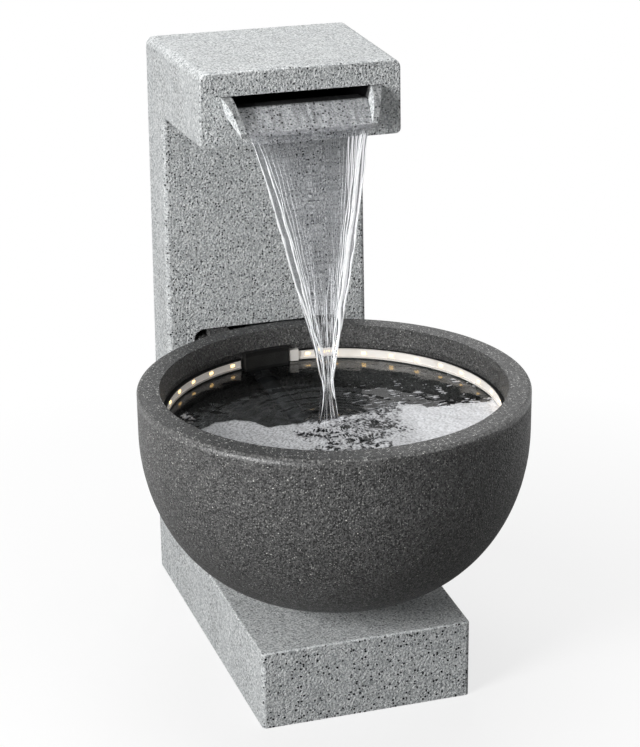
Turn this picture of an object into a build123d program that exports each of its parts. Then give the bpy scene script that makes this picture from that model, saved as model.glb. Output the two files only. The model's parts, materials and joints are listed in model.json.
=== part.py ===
from build123d import *
import math
import os

# Garden fountain: a cast-stone C frame (plinth, column and overhanging head) with a spout, and a bowl that
# stands on the plinth in front of the column and holds the pool, the pump and a ring of lights.
# Millimetres, +Z up, the front looks towards -Y. The origin is on the floor, under the middle of the outline.

# Frame
total_height = 675.0
column_depth = 70.0
head_reach = 224.0
head_height = 84.0
plinth_length = 443.0
plinth_height = 91.0
back_width_floor = 260.0
back_width_top = 246.0
head_front_width = 228.0
plinth_front_width = 239.0
frame_wall = 8.0
back_edge_radius = 10.0
face_edge_radius = 2.4
column_edge_radius = 6.0
plinth_edge_radius = 5.0
inner_corner_radius = 9.0

# Spout in the head's front face
slot_below_top = 27.0
slot_height = 13.5
spout_reach = 30.0
spout_drop = 21.5
spout_floor = 5.0
spout_top_width = 158.6
spout_lip_width = 142.2
cheek_at_face = 12.0
cheek_at_lip = 6.5
cheek_lean = 0.2
cheek_bulge = 7.0
tongue_length = 12.0

# Bowl
bowl_diameter = 430.0
bowl_gap = 46.0
rim_height = 347.5
rim_width = 24.5
rim_edge_radius = 4.0
lip_depth = 20.0
lip_taper = 4.5
lip_overhang = 2.0
wall_straight = 47.5
bowl_floor = 15.0
floor_radius = 80.0
base_radius = 68.0
foot_radius = 40.0
foot_wall = 14.0
foot_height = 26.0
water_below_rim = 40.0

# Neck at the back of the bowl, which enters the cut-out in the column
neck_width = 178.0
neck_height = 80.0
neck_below_rim = 25.0
neck_wall = 7.0
neck_insert = 15.0
neck_corner = 10.0
lug_width = 24.0
lug_offset = 63.0
lug_height = 8.0

# Light strip under the bowl's lip (angles from +X towards +Y about the bowl's axis)
strip_height = 12.0
strip_thickness = 4.2
strip_above_water = 1.3
strip_start = 85.6
strip_end = 108.4 - 360.0
strip_margin = 3.6
ribbon_height = 8.0
ribbon_thickness = 0.4
ribbon_depth = 1.4
chip_width = 5.0
chip_height = 2.6
chip_thickness = 0.7
chip_pitch = 1000.0 / 30.0
cap_angle = 3.5
cap_height = 13.6
cap_thickness = 6.0

# Cable cover on the bowl's wall, between the ends of the strip
cover_from = 89.5
cover_to = 107.0
cover_depth = 7.5
cover_below_rim = 48.5
cover_wall = 2.0
grommet_radius = 6.0
grommet_bore = 3.5
grommet_flange = 8.0
grommet_below_rim = 40.5
grommet_x = -27.0

# Hoses and their fittings
hose_x = -30.0
hose_radius = 11.0
hose_bore = 8.0
hose_bend = 45.0
hose_below_rim = 70.0
fitting_bore = 5.5
barb_length = 26.0
spigot_length = 34.0
flange_radius = 19.0
flange_thickness = 4.0
seal_thickness = 2.0
seal_inset = 1.0
stem_radius = 12.0
nut_flats = 34.0
nut_thickness = 8.0
pad_radius = 21.0
pad_wall = 8.4
clamp_thickness = 1.5
clamp_width = 9.0
clamp_ear = 9.0

# Trough in the head that feeds the spout
trough_width = 180.0
trough_wall = 3.0
trough_height = 53.0
inlet_stem_radius = 10.0
inlet_flange_radius = 17.0
inlet_nut_flats = 30.0

# Pump on the bowl's floor
pump_width = 62.0
pump_height = 58.0
pump_length = 68.0
pump_offset = -32.0
pump_edge_radius = 6.0
axis_height = 28.0
cup_height = 8.0
cup_radius = 10.0
cup_top_radius = 6.0
cup_inset = 10.0
volute_radius = 22.0
volute_depth = 14.0
rotor_radius = 12.8
rotor_gap = 0.7
well_depth = 42.0
shaft_radius = 2.0
bush_length = 6.0
bush_radius = 6.0
blade_count = 6
blade_radius = 17.5
blade_thickness = 1.6
blade_inset = 2.0
disc_thickness = 2.0
intake_radius = 12.0
hub_radius = 6.5
hub_bore = 4.0
spoke_width = 3.0
spoke_count = 3
volute_plate = 4.0
strainer_depth = 24.0
strainer_wall = 3.0
slit_width = 3.0
slit_height = 38.0
slit_pitch = 5.5
slit_first = 14.5
slit_count = 3
knob_radius = 11.0
knob_thickness = 8.0
knob_stem_radius = 3.0
grip_length = 17.6
grip_width = 6.0
catch_radius = 6.0
catch_thickness = 2.0
outlet_inset = 12.0
outlet_stem_radius = 8.0

# Access cover in the column's back, and the cable inlet below it
hatch_width = 120.0
hatch_height = 170.0
hatch_centre_height = 300.0
hatch_rebate = 6.0
hatch_plate = 3.2
hatch_skirt = 12.0
hatch_corner = 8.0
finger_hole_radius = 12.5
finger_hole_rise = 55.0
gland_radius = 9.0
gland_bore = 4.0
gland_flange = 12.5
gland_flange_thickness = 3.0
gland_x = 60.0
gland_height = 40.0

# Water: the sheet that leaves the spout and the pool that it falls into
sheet_thickness = 2.2
sheet_lip_width = 139.0
sheet_neck_width = 8.0
sheet_neck_above_pool = 46.0
sheet_neck_x = -9.4
sheet_foot_width = 25.0
sheet_foot_x = -11.0
sheet_throw = 89.0

# Clearances
seat_gap = 0.3
neck_gap = 3.0
lug_gap = 0.8
running_gap = 0.06
slip_gap = 0.05
cut_margin = 1.0

# Places worked out from the sizes above
back_y = (column_depth + bowl_gap + bowl_diameter) / 2
column_front_y = back_y - column_depth
head_front_y = back_y - head_reach
plinth_front_y = back_y - plinth_length
head_bottom_z = total_height - head_height
bowl_radius = bowl_diameter / 2
bowl_y = column_front_y - bowl_gap - bowl_radius
rim_inner_radius = bowl_radius - rim_width
lip_radius = rim_inner_radius - lip_taper
recess_radius = lip_radius + lip_overhang
lip_bottom_z = rim_height - lip_depth
turn_z = rim_height - wall_straight
underside_z = plinth_height + foot_height
floor_z = underside_z + bowl_floor
water_z = rim_height - water_below_rim
strip_bottom_z = water_z + strip_above_water
strip_middle_z = strip_bottom_z + strip_height / 2
neck_top_z = rim_height - neck_below_rim
neck_middle_z = neck_top_z - neck_height / 2
neck_end_y = column_front_y + neck_insert
hose_z = rim_height - hose_below_rim
riser_y = (column_front_y + back_y) / 2
pad_inner_y = bowl_y + recess_radius
pad_outer_y = pad_inner_y + pad_wall
spigot_y = pad_outer_y + nut_thickness + seal_thickness
slot_top_z = total_height - slot_below_top
slot_floor_z = slot_top_z - slot_height
lip_y = head_front_y - spout_reach
lip_z = slot_floor_z - spout_drop
trough_floor_z = head_bottom_z + frame_wall
pump_front_y = bowl_y + pump_offset
pump_bottom_z = floor_z + cup_height
pump_top_z = pump_bottom_z + pump_height
pump_axis_z = pump_bottom_z + axis_height
outlet_y = pump_front_y + outlet_inset


def block(x, y, z):
    """A block that spans a pair of values on each axis."""
    size = Box(x[1] - x[0], y[1] - y[0], z[1] - z[0])
    return Pos((x[0] + x[1]) / 2, (y[0] + y[1]) / 2, (z[0] + z[1]) / 2) * size


def rod(radius, start, end):
    """A round bar from one point to another."""
    path = Vector(*end) - Vector(*start)
    return extrude(Plane(Vector(*start), z_dir=path) * Circle(radius), path.length)


def pipe(radius, bore, start, end):
    """A round bar with a hole along it."""
    return rod(radius, start, end) - rod(bore, start, end)


def hex_nut(flats, bore, start, end):
    """A plain hexagon nut from one point to another."""
    path = Vector(*end) - Vector(*start)
    outline = RegularPolygon(flats / 2, 6, major_radius=False) - Circle(bore)
    return extrude(Plane(Vector(*start), z_dir=path) * outline, path.length)


def hose(points, radius, bore, end_run):
    """A hose along straight runs, each with a straight end left over, joined by bends."""
    runs = [(Vector(*end) - Vector(*start)).length for start, end in zip(points, points[1:])]
    path = FilletPolyline(*points, radius=min(hose_bend, min(runs) - end_run))
    section = Circle(radius) - Circle(bore) if bore else Circle(radius)
    return sweep(Plane(Vector(*points[0]), z_dir=path % 0) * section, path)


def side_prism(points, half_width):
    """An outline in the (y, z) plane, drawn out to both sides of the middle plane."""
    face = make_face(Polyline(*points, close=True))
    return extrude(Plane.YZ * face, half_width, both=True)


def ring_part(inner, outer, low, high, start, end):
    """A part of a ring about the bowl's axis, between two angles."""
    outline = Pos((inner + outer) / 2, (low + high) / 2) * Rectangle(outer - inner, high - low)
    ring = revolve(Plane.XZ * outline, Axis.Z, abs(end - start))
    return Pos(0, bowl_y, 0) * Rot(0, 0, min(start, end)) * ring


def plan_face(back_half, front_half, front_y, z, inset):
    """A plan outline that is narrower at the front than at the back."""
    corners = [
        (-back_half + inset, back_y - inset),
        (back_half - inset, back_y - inset),
        (front_half - inset, front_y + inset),
        (-front_half + inset, front_y + inset),
    ]
    return Pos(0, 0, z) * make_face(Polyline(*corners, close=True))


def upper_form(inset, low_z):
    """Column and head as one tapered form, drawn in by an inset on every side."""
    floor_half = back_width_floor / 2
    top_half = back_width_top / 2
    taper = (back_width_top - head_front_width) / 2
    floor_plan = plan_face(floor_half, floor_half - taper, head_front_y, 0, inset)
    top_plan = plan_face(top_half, top_half - taper, head_front_y, total_height, inset)
    envelope = loft([floor_plan, top_plan])
    profile = [
        (back_y - inset, low_z),
        (back_y - inset, total_height - inset),
        (head_front_y + inset, total_height - inset),
        (head_front_y + inset, head_bottom_z + inset),
        (column_front_y + inset, head_bottom_z + inset),
        (column_front_y + inset, low_z),
    ]
    return side_prism(profile, back_width_floor) & envelope


def plinth_form(inset):
    """The plinth, tapered towards its front like the column."""
    back_half = back_width_floor / 2
    plan = plan_face(back_half, plinth_front_width / 2, plinth_front_y, inset, inset)
    return extrude(plan, plinth_height - 2 * inset)


def rounded_upper():
    """Column and head with the soft edges of a casting."""
    form = upper_form(0, 0)
    along_top = form.edges().filter_by_position(Axis.Z, total_height - cut_margin, total_height + cut_margin)
    along_back = form.edges().filter_by_position(Axis.Y, back_y - cut_margin, back_y + cut_margin)
    upright = along_back.filter_by_position(Axis.Z, cut_margin, total_height - cut_margin)
    top_front = along_top.filter_by_position(Axis.Y, head_front_y - cut_margin, head_front_y + cut_margin)
    form = fillet(upright + [edge for edge in along_top if edge not in top_front], back_edge_radius)
    inner_corner = column_face(form).edges().sort_by(Axis.Z)[-1]
    form = fillet(inner_corner, inner_corner_radius)
    sides = column_face(form).edges().sort_by(Axis.X)
    form = fillet([sides[0], sides[-1]], column_edge_radius)
    return fillet(form.faces().sort_by(Axis.Y)[0].edges(), face_edge_radius)


def column_face(form):
    """The column's flat front face."""
    flat = form.faces().filter_by(Axis.Y)
    return flat.filter_by_position(Axis.Y, column_front_y - cut_margin, column_front_y + cut_margin)[0]


def rounded_plinth():
    """The plinth with the soft edges of a casting."""
    form = plinth_form(0)
    upright = form.edges().filter_by(Axis.Z)
    form = fillet(upright.sort_by(Axis.Y)[-2:], back_edge_radius)
    front_uprights = form.edges().filter_by(Axis.Z).sort_by(Axis.Y)[:2]
    form = fillet(front_uprights, plinth_edge_radius)
    top = form.faces().sort_by(Axis.Z)[-1]
    return fillet(top.edges(), face_edge_radius)


def slot_outline(gap):
    """The spout's outline in the head's face: wide at the top, narrower towards the lip."""
    top_half = spout_top_width / 2 + cheek_at_face
    low_z = slot_floor_z - spout_floor - gap
    low_half = top_half - cheek_lean * (slot_top_z - low_z)
    points = [
        (-top_half - gap, slot_top_z + gap),
        (top_half + gap, slot_top_z + gap),
        (low_half + gap, low_z),
        (-low_half - gap, low_z),
    ]
    return make_face(Polyline(*points, close=True))


def neck_outline(width, height, corner, middle_z):
    """A rounded outline, square to the Y axis, for the neck and the cut-out that takes it."""
    return Pos(0, middle_z) * RectangleRounded(width, height, corner)


def fountain_body():
    """Hollow one-piece casting of plinth, column and head, with the spout slot and the cut-outs."""
    cavity = upper_form(frame_wall, frame_wall) + plinth_form(frame_wall)
    body = rounded_upper() + rounded_plinth() - cavity
    through = 3 * frame_wall
    slot = extrude(Plane.XZ.offset(-head_front_y - through / 2) * slot_outline(seat_gap), through)
    opening_top = neck_top_z + lug_height + lug_gap
    opening_low = neck_top_z - neck_height - neck_gap
    opening = neck_outline(neck_width + 2 * neck_gap, opening_top - opening_low, neck_corner + neck_gap,
                           (opening_top + opening_low) / 2)
    front_cut = extrude(Plane.XZ.offset(-column_front_y - through / 2) * opening, through)
    hatch = RectangleRounded(hatch_width, hatch_height, hatch_corner)
    rebate = RectangleRounded(hatch_width + 2 * hatch_rebate, hatch_height + 2 * hatch_rebate, hatch_corner)
    back_plane = Plane.XZ.offset(-back_y)
    hatch_cut = extrude(back_plane * Pos(0, hatch_centre_height) * hatch, through, both=True)
    rebate_cut = extrude(back_plane * Pos(0, hatch_centre_height) * rebate, hatch_plate + seat_gap)
    gland_cut = rod(gland_radius, (gland_x, back_y - through, gland_height),
                    (gland_x, back_y + cut_margin, gland_height))
    return body - slot - front_cut - hatch_cut - rebate_cut - gland_cut


def lean_prism(top_half, lean, top_z, drop):
    """A wedge along Y whose sides lean in towards the bottom."""
    low_half = top_half - lean * drop
    points = [(-top_half, top_z), (top_half, top_z), (low_half, top_z - drop), (-low_half, top_z - drop)]
    return extrude(Plane.XZ * make_face(Polyline(*points, close=True)), back_y * 2, both=True)


def cheek_outline(forward):
    """The spout's outline at a distance in front of the head's face, where its cheeks draw in."""
    face_half = spout_top_width / 2 + cheek_at_face
    lip_half = spout_lip_width / 2 + cheek_at_lip
    draw_in = (face_half - cheek_lean * (slot_top_z - lip_z) - lip_half) / spout_reach
    top_half = face_half - draw_in * forward
    low_z = lip_z - 2 * spout_floor
    low_half = top_half - cheek_lean * (slot_top_z - low_z)
    points = [(-top_half, slot_top_z), (top_half, slot_top_z), (low_half, low_z), (-low_half, low_z)]
    return Plane.XZ.offset(forward - head_front_y) * make_face(Polyline(*points, close=True))


def spout_tray():
    """Sloping spout floor between two cheeks with a convex front edge, and a tongue into the trough."""
    inner_y = head_front_y + frame_wall
    slope = spout_drop / spout_reach
    face_point = (head_front_y, slot_top_z)
    lip_point = (lip_y, lip_z)
    middle = Vector((head_front_y + lip_y) / 2, (slot_top_z + lip_z) / 2)
    chord = Vector(lip_y - head_front_y, lip_z - slot_top_z)
    bulge = middle + Vector(chord.Y, -chord.X).normalized() * cheek_bulge
    low_face = (head_front_y, slot_floor_z - spout_floor)
    edges = Curve() + [
        Line((inner_y, slot_top_z), face_point),
        ThreePointArc(face_point, (bulge.X, bulge.Y), lip_point),
        Line(lip_point, (lip_y, lip_z - spout_floor)),
        Line((lip_y, lip_z - spout_floor), low_face),
        Line(low_face, (inner_y, slot_floor_z - spout_floor)),
        Line((inner_y, slot_floor_z - spout_floor), (inner_y, slot_top_z)),
    ]
    form = extrude(Plane.YZ * make_face(edges), spout_top_width, both=True)
    top_half = spout_top_width / 2
    lip_half = spout_lip_width / 2
    low_z = lip_z - 2 * spout_floor
    lean = (top_half - lip_half) / (slot_top_z - lip_z)
    drop = slot_top_z - low_z
    rise = slot_height
    cheeks = loft([cheek_outline(0), cheek_outline(2 * spout_reach)], ruled=True)
    outer = cheeks + extrude(cheek_outline(0), -frame_wall)
    inner = lean_prism(top_half + lean * rise, lean, slot_top_z + rise, drop + rise)
    front_y = lip_y - spout_reach
    tail_y = inner_y + tongue_length
    floor_line = [
        (front_y, lip_z - slope * spout_reach),
        (head_front_y, slot_floor_z),
        (tail_y, slot_floor_z),
        (tail_y, slot_top_z + rise),
        (front_y, slot_top_z + rise),
    ]
    channel = side_prism(floor_line, spout_top_width) & inner
    tongue_half = spout_lip_width / 2
    tongue = block((-tongue_half, tongue_half), (inner_y - cut_margin, tail_y),
                   (slot_floor_z - spout_floor, slot_floor_z))
    return (form & outer) - channel + tongue


def weir_trough():
    """Open trough on the head's floor: its front wall ends under the spout's tongue."""
    front_y = head_front_y + frame_wall + seat_gap
    rear_y = back_y - frame_wall - trough_wall
    half = trough_width / 2
    low_z = trough_floor_z
    tray = block((-half, half), (front_y, rear_y), (low_z, low_z + trough_height))
    hollow = block((-half + trough_wall, half - trough_wall), (front_y + trough_wall, rear_y - trough_wall),
                   (low_z + trough_wall, low_z + 2 * trough_height))
    weir_z = slot_floor_z - spout_floor - seat_gap
    weir = block((-half + trough_wall, half - trough_wall),
                 (front_y - cut_margin, front_y + trough_wall + cut_margin),
                 (weir_z, low_z + 2 * trough_height))
    inlet = rod(inlet_stem_radius + seat_gap, (hose_x, riser_y, low_z - cut_margin),
                (hose_x, riser_y, low_z + trough_wall + cut_margin))
    return tray - hollow - weir - inlet


def trough_inlet():
    """Flanged inlet through the trough's floor, with a barb for the riser hose."""
    flange_z = trough_floor_z + trough_wall + seal_thickness
    shoulder_z = trough_floor_z - nut_thickness - seal_thickness
    flange = rod(inlet_flange_radius, (hose_x, riser_y, flange_z),
                 (hose_x, riser_y, flange_z + flange_thickness))
    stem = rod(inlet_stem_radius, (hose_x, riser_y, shoulder_z), (hose_x, riser_y, flange_z))
    barb = rod(hose_bore - slip_gap, (hose_x, riser_y, shoulder_z - barb_length),
               (hose_x, riser_y, shoulder_z))
    bore = rod(fitting_bore, (hose_x, riser_y, shoulder_z - 2 * barb_length),
               (hose_x, riser_y, total_height))
    return flange + stem + barb - bore


def inlet_seal():
    """Rubber washer between the inlet's flange and the trough's floor."""
    low = trough_floor_z + trough_wall
    return pipe(inlet_flange_radius - seal_inset, inlet_stem_radius + seat_gap,
                (hose_x, riser_y, low), (hose_x, riser_y, low + seal_thickness))


def inlet_nut():
    """Nut that pulls the inlet down on the trough's floor."""
    return hex_nut(inlet_nut_flats, inlet_stem_radius + slip_gap,
                   (hose_x, riser_y, trough_floor_z - nut_thickness), (hose_x, riser_y, trough_floor_z))


def riser_hose():
    """Hose from the bowl's spigot into the column and up to the trough's inlet."""
    top_z = trough_floor_z - nut_thickness - 2 * seal_thickness
    start_y = spigot_y + seal_thickness
    points = [(hose_x, start_y, hose_z), (hose_x, riser_y, hose_z), (hose_x, riser_y, top_z)]
    return hose(points, hose_radius, hose_bore, spigot_length)


def clamp_ring(centre, direction):
    """Worm-drive clamp: a thin band round a hose with the housing of its screw."""
    plane = Plane(Vector(*centre), z_dir=direction)
    inner = hose_radius + slip_gap
    band = Circle(inner + clamp_thickness) - Circle(inner)
    ear = Pos(inner + clamp_thickness + clamp_ear / 2 - slip_gap, 0) * Rectangle(clamp_ear, clamp_ear)
    ear = ear - Circle(inner + clamp_thickness / 2)
    return extrude(plane * (band + ear), clamp_width)


def riser_clamp():
    """Clamp at the upper end of the riser hose."""
    low = trough_floor_z - nut_thickness - 2 * seal_thickness - barb_length + clamp_width
    return clamp_ring((hose_x, riser_y, low), (0, 0, 1))


def hose_clamps():
    """Clamps at both ends of the pump's hose."""
    lower = clamp_ring((hose_x, outlet_y, pump_top_z + flange_thickness + clamp_width), (0, 0, 1))
    inner_end = pad_inner_y - seal_thickness - flange_thickness
    upper = clamp_ring((hose_x, inner_end - 2 * clamp_width, hose_z), (0, 1, 0))
    return Compound(children=[lower, upper])


def bowl_face(outer_radius, drop):
    """Half section of the bowl's outer form, filled, in the (r, z) plane."""
    reach = outer_radius - base_radius
    edges = Curve() + [
        Line((0, rim_height - drop), (outer_radius, rim_height - drop)),
        Line((outer_radius, rim_height - drop), (outer_radius, turn_z)),
        EllipticalCenterArc((base_radius, turn_z), reach, turn_z - underside_z, 0, arc_size=-90),
        Line((base_radius, underside_z), (foot_radius, underside_z)),
        Line((foot_radius, underside_z), (foot_radius, plinth_height)),
        Line((foot_radius, plinth_height), (0, plinth_height)),
        Line((0, plinth_height), (0, rim_height - drop)),
    ]
    return make_face(edges)


def basin_face(gap, top_z):
    """Half section of the hollow below the lip, filled up to a height, in the (r, z) plane."""
    radius = recess_radius - gap
    low_z = floor_z + gap
    edges = Curve() + [
        Line((0, top_z), (radius, top_z)),
        Line((radius, top_z), (radius, turn_z)),
        EllipticalCenterArc((floor_radius, turn_z), radius - floor_radius, turn_z - low_z, 0, arc_size=-90),
        Line((floor_radius, low_z), (0, low_z)),
        Line((0, low_z), (0, top_z)),
    ]
    return make_face(edges)


def mouth_face():
    """Half section of the opening inside the rim, which narrows towards the lip's lower edge."""
    spread = cut_margin * lip_taper / lip_depth
    points = [
        (0, lip_bottom_z - cut_margin),
        (lip_radius - spread, lip_bottom_z - cut_margin),
        (rim_inner_radius + spread, rim_height + cut_margin),
        (0, rim_height + cut_margin),
    ]
    return make_face(Polyline(*points, close=True))


def turned(face):
    """A half section turned about the bowl's axis."""
    return Pos(0, bowl_y, 0) * revolve(Plane.XZ * face, Axis.Z)


def bowl():
    """Bowl with an overhanging lip, a hollow foot and a rear neck with two locating lugs."""
    shell = turned(bowl_face(bowl_radius, 0))
    rim = shell.edges().filter_by_position(Axis.Z, rim_height - cut_margin, rim_height + cut_margin)
    shell = fillet(rim, rim_edge_radius)
    half_wall = (bowl_radius + recess_radius) / 2
    full = neck_outline(neck_width, neck_height, neck_corner, neck_middle_z)
    outer = extrude(Plane.XZ.offset(-neck_end_y) * full, neck_end_y - bowl_y)
    hollow = neck_outline(neck_width - 2 * neck_wall, neck_height - 2 * neck_wall,
                          neck_corner - neck_wall / 2, neck_middle_z)
    channel = extrude(Plane.XZ.offset(-neck_end_y - cut_margin) * hollow, neck_end_y - bowl_y)
    core = rod(half_wall, (0, bowl_y, plinth_height), (0, bowl_y, rim_height))
    lugs = [
        block((side * lug_offset - lug_width / 2, side * lug_offset + lug_width / 2),
              (column_front_y - frame_wall, neck_end_y), (neck_top_z - cut_margin, neck_top_z + lug_height))
        for side in (-1, 1)
    ]
    neck = outer - channel - core + lugs[0] + lugs[1]
    body = shell + neck
    foot_hollow = rod(foot_radius - foot_wall, (0, bowl_y, plinth_height - cut_margin),
                      (0, bowl_y, underside_z - foot_wall / 2))
    body = body - turned(basin_face(0, lip_bottom_z)) - turned(mouth_face()) - foot_hollow
    inner_pad = rod(pad_radius, (hose_x, bowl_y, hose_z), (hose_x, pad_inner_y, hose_z))
    outer_pad = rod(pad_radius, (hose_x, pad_outer_y, hose_z), (hose_x, column_front_y, hose_z))
    hose_way = rod(stem_radius + seat_gap, (hose_x, bowl_y, hose_z), (hose_x, column_front_y, hose_z))
    cable_z = rim_height - grommet_below_rim
    cable_way = rod(grommet_radius + slip_gap, (grommet_x, bowl_y, cable_z),
                    (grommet_x, column_front_y, cable_z))
    return body - inner_pad - outer_pad - hose_way - cable_way


def bulkhead_fitting():
    """Flanged fitting through the bowl's wall: a barb in the pool and a plain spigot in the neck."""
    flange_y = pad_inner_y - seal_thickness
    barb_y = flange_y - flange_thickness
    flange = rod(flange_radius, (hose_x, barb_y, hose_z), (hose_x, flange_y, hose_z))
    stem = rod(stem_radius, (hose_x, flange_y, hose_z), (hose_x, spigot_y, hose_z))
    barb = rod(hose_bore - slip_gap, (hose_x, barb_y - barb_length, hose_z), (hose_x, barb_y, hose_z))
    spigot = rod(hose_bore - slip_gap, (hose_x, spigot_y, hose_z),
                 (hose_x, spigot_y + spigot_length, hose_z))
    bore = rod(fitting_bore, (hose_x, bowl_y, hose_z), (hose_x, back_y, hose_z))
    return flange + stem + barb + spigot - bore


def bulkhead_seal():
    """Rubber washer between the fitting's flange and the bowl's wall."""
    return pipe(flange_radius - seal_inset, stem_radius + seat_gap,
                (hose_x, pad_inner_y - seal_thickness, hose_z), (hose_x, pad_inner_y, hose_z))


def bulkhead_nut():
    """Nut on the fitting, against the flat on the outside of the bowl's wall."""
    return hex_nut(nut_flats, stem_radius + slip_gap, (hose_x, pad_outer_y, hose_z),
                   (hose_x, pad_outer_y + nut_thickness, hose_z))


def led_strip():
    """White silicone strip round the wall, just above the water, with a groove for the ribbon."""
    outer = recess_radius - seat_gap
    inner = outer - strip_thickness
    strip = ring_part(inner, outer, strip_bottom_z, strip_bottom_z + strip_height, strip_start, strip_end)
    low = strip_middle_z - ribbon_height / 2
    high = low + ribbon_height
    groove = ring_part(inner - cut_margin, inner + ribbon_depth, low, high, strip_start, strip_end)
    return strip - groove


def led_ribbon():
    """Flexible circuit in the strip's groove."""
    outer = recess_radius - seat_gap - strip_thickness + ribbon_depth
    low = strip_middle_z - ribbon_height / 2 + slip_gap
    high = low + ribbon_height - 2 * slip_gap
    return ring_part(outer - ribbon_thickness, outer, low, high, strip_start, strip_end)


def led_chips():
    """Lamps on the ribbon, evenly spread at about their pitch."""
    face = recess_radius - seat_gap - strip_thickness + ribbon_depth - ribbon_thickness
    span = strip_start - strip_end - 2 * strip_margin
    count = round(span / math.degrees(chip_pitch / face))
    place = Pos(face - chip_thickness / 2 - slip_gap, 0, strip_middle_z)
    chip = place * Box(chip_thickness, chip_width, chip_height)
    angles = [strip_start - strip_margin - span * number / count for number in range(count + 1)]
    return Compound(children=[Pos(0, bowl_y, 0) * Rot(0, 0, angle) * chip for angle in angles])


def strip_end_cap():
    """Moulded cap on the strip's first end."""
    outer = recess_radius - seat_gap
    low = strip_middle_z - cap_height / 2
    high = low + cap_height
    return ring_part(outer - cap_thickness, outer, low, high, strip_start, strip_start + cap_angle)


def cable_cover():
    """Hood on the bowl's wall over the cable way, between the ends of the strip."""
    outer = recess_radius - seat_gap
    low = rim_height - cover_below_rim
    high = lip_bottom_z - seat_gap
    hood = ring_part(outer - cover_depth, outer, low, high, cover_from, cover_to)
    edge = math.degrees(cover_wall / outer)
    inner = outer - cover_depth + cover_wall
    hollow = ring_part(inner, outer + cut_margin, low - cut_margin, high - cover_wall,
                       cover_from + edge, cover_to - edge)
    return hood - hollow


def cable_grommet():
    """Rubber bush in the cable way through the bowl's wall."""
    z = rim_height - grommet_below_rim
    wall_y = bowl_y + math.sqrt(recess_radius**2 - (abs(grommet_x) + grommet_flange) ** 2)
    outer_y = bowl_y + math.sqrt(bowl_radius**2 - grommet_x**2)
    flange = rod(grommet_flange, (grommet_x, wall_y - seal_thickness, z), (grommet_x, wall_y - slip_gap, z))
    sleeve = rod(grommet_radius, (grommet_x, wall_y - seal_thickness, z), (grommet_x, outer_y, z))
    return flange + sleeve - rod(grommet_bore, (grommet_x, bowl_y, z), (grommet_x, back_y, z))


def pump_block(grow):
    """Outer block of the pump, from the bowl's floor to its top, grown by a clearance."""
    half = pump_width / 2 + grow
    front = pump_front_y - strainer_depth - 2 * knob_thickness
    return block((hose_x - half, hose_x + half), (front, pump_front_y + pump_length + grow),
                 (floor_z - cut_margin, pump_top_z + grow))


def pump_housing():
    """Moulded pump body with the rotor's well, the volute and the outlet's socket."""
    half = pump_width / 2
    body = block((hose_x - half, hose_x + half), (pump_front_y, pump_front_y + pump_length),
                 (pump_bottom_z, pump_top_z))
    body = fillet(body.edges().filter_by(Axis.Y), pump_edge_radius)
    body = fillet(body.faces().sort_by(Axis.Y)[-1].edges(), pump_edge_radius / 2)
    well_radius = rotor_radius + rotor_gap
    volute = rod(volute_radius, (hose_x, pump_front_y - cut_margin, pump_axis_z),
                 (hose_x, pump_front_y + volute_depth, pump_axis_z))
    well = rod(well_radius, (hose_x, pump_front_y, pump_axis_z),
               (hose_x, pump_front_y + well_depth, pump_axis_z))
    seat = rod(bush_radius + slip_gap, (hose_x, pump_front_y, pump_axis_z),
               (hose_x, pump_front_y + well_depth + bush_length, pump_axis_z))
    socket = rod(outlet_stem_radius + slip_gap, (hose_x, outlet_y, pump_axis_z),
                 (hose_x, outlet_y, pump_top_z + cut_margin))
    return body - volute - well - seat - socket


def volute_cover():
    """Plate over the volute, with an intake and three spokes that carry the front bush."""
    half = pump_width / 2 - strainer_wall - seat_gap
    reach = min(axis_height, pump_height - axis_height) - strainer_wall - seat_gap
    plane = Plane.XZ.offset(-pump_front_y)
    spoke = Pos(0, intake_radius / 2) * Rectangle(spoke_width, intake_radius + cut_margin)
    spokes = [Rot(0, 0, 360 / spoke_count * number) * spoke for number in range(spoke_count)]
    outline = Rectangle(2 * half, 2 * reach) - Circle(intake_radius) + Circle(hub_radius) + spokes
    outline = outline - Circle(hub_bore)
    return extrude(plane * Pos(hose_x, pump_axis_z) * outline, volute_plate)


def pump_strainer():
    """Front cage of the pump, with slits on its face and sides and the bearing of the flow knob."""
    half = pump_width / 2
    face_y = pump_front_y - strainer_depth
    cage = block((hose_x - half, hose_x + half), (face_y, pump_front_y), (pump_bottom_z, pump_top_z))
    cage = fillet(cage.edges().filter_by(Axis.Y), pump_edge_radius)
    hollow = block((hose_x - half + strainer_wall, hose_x + half - strainer_wall),
                   (face_y + strainer_wall, pump_front_y + cut_margin),
                   (pump_bottom_z + strainer_wall, pump_top_z - strainer_wall))
    cage = cage - hollow
    middle_z = (pump_bottom_z + pump_top_z) / 2
    reach = slit_height / 2
    for side in (-1, 1):
        for number in range(slit_count):
            x = hose_x + side * (slit_first + slit_pitch * number)
            cage -= block((x - slit_width / 2, x + slit_width / 2),
                          (face_y - cut_margin, face_y + strainer_wall + cut_margin),
                          (middle_z - reach, middle_z + reach))
    for number in range(slit_count):
        y = face_y + 2 * strainer_wall + slit_pitch * number
        cage -= block((hose_x - half - cut_margin, hose_x + half + cut_margin), (y, y + slit_width),
                      (middle_z - reach, middle_z + reach))
    return cage - rod(knob_stem_radius + running_gap, (hose_x, face_y - cut_margin, pump_axis_z),
                      (hose_x, face_y + strainer_wall + cut_margin, pump_axis_z))


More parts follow.
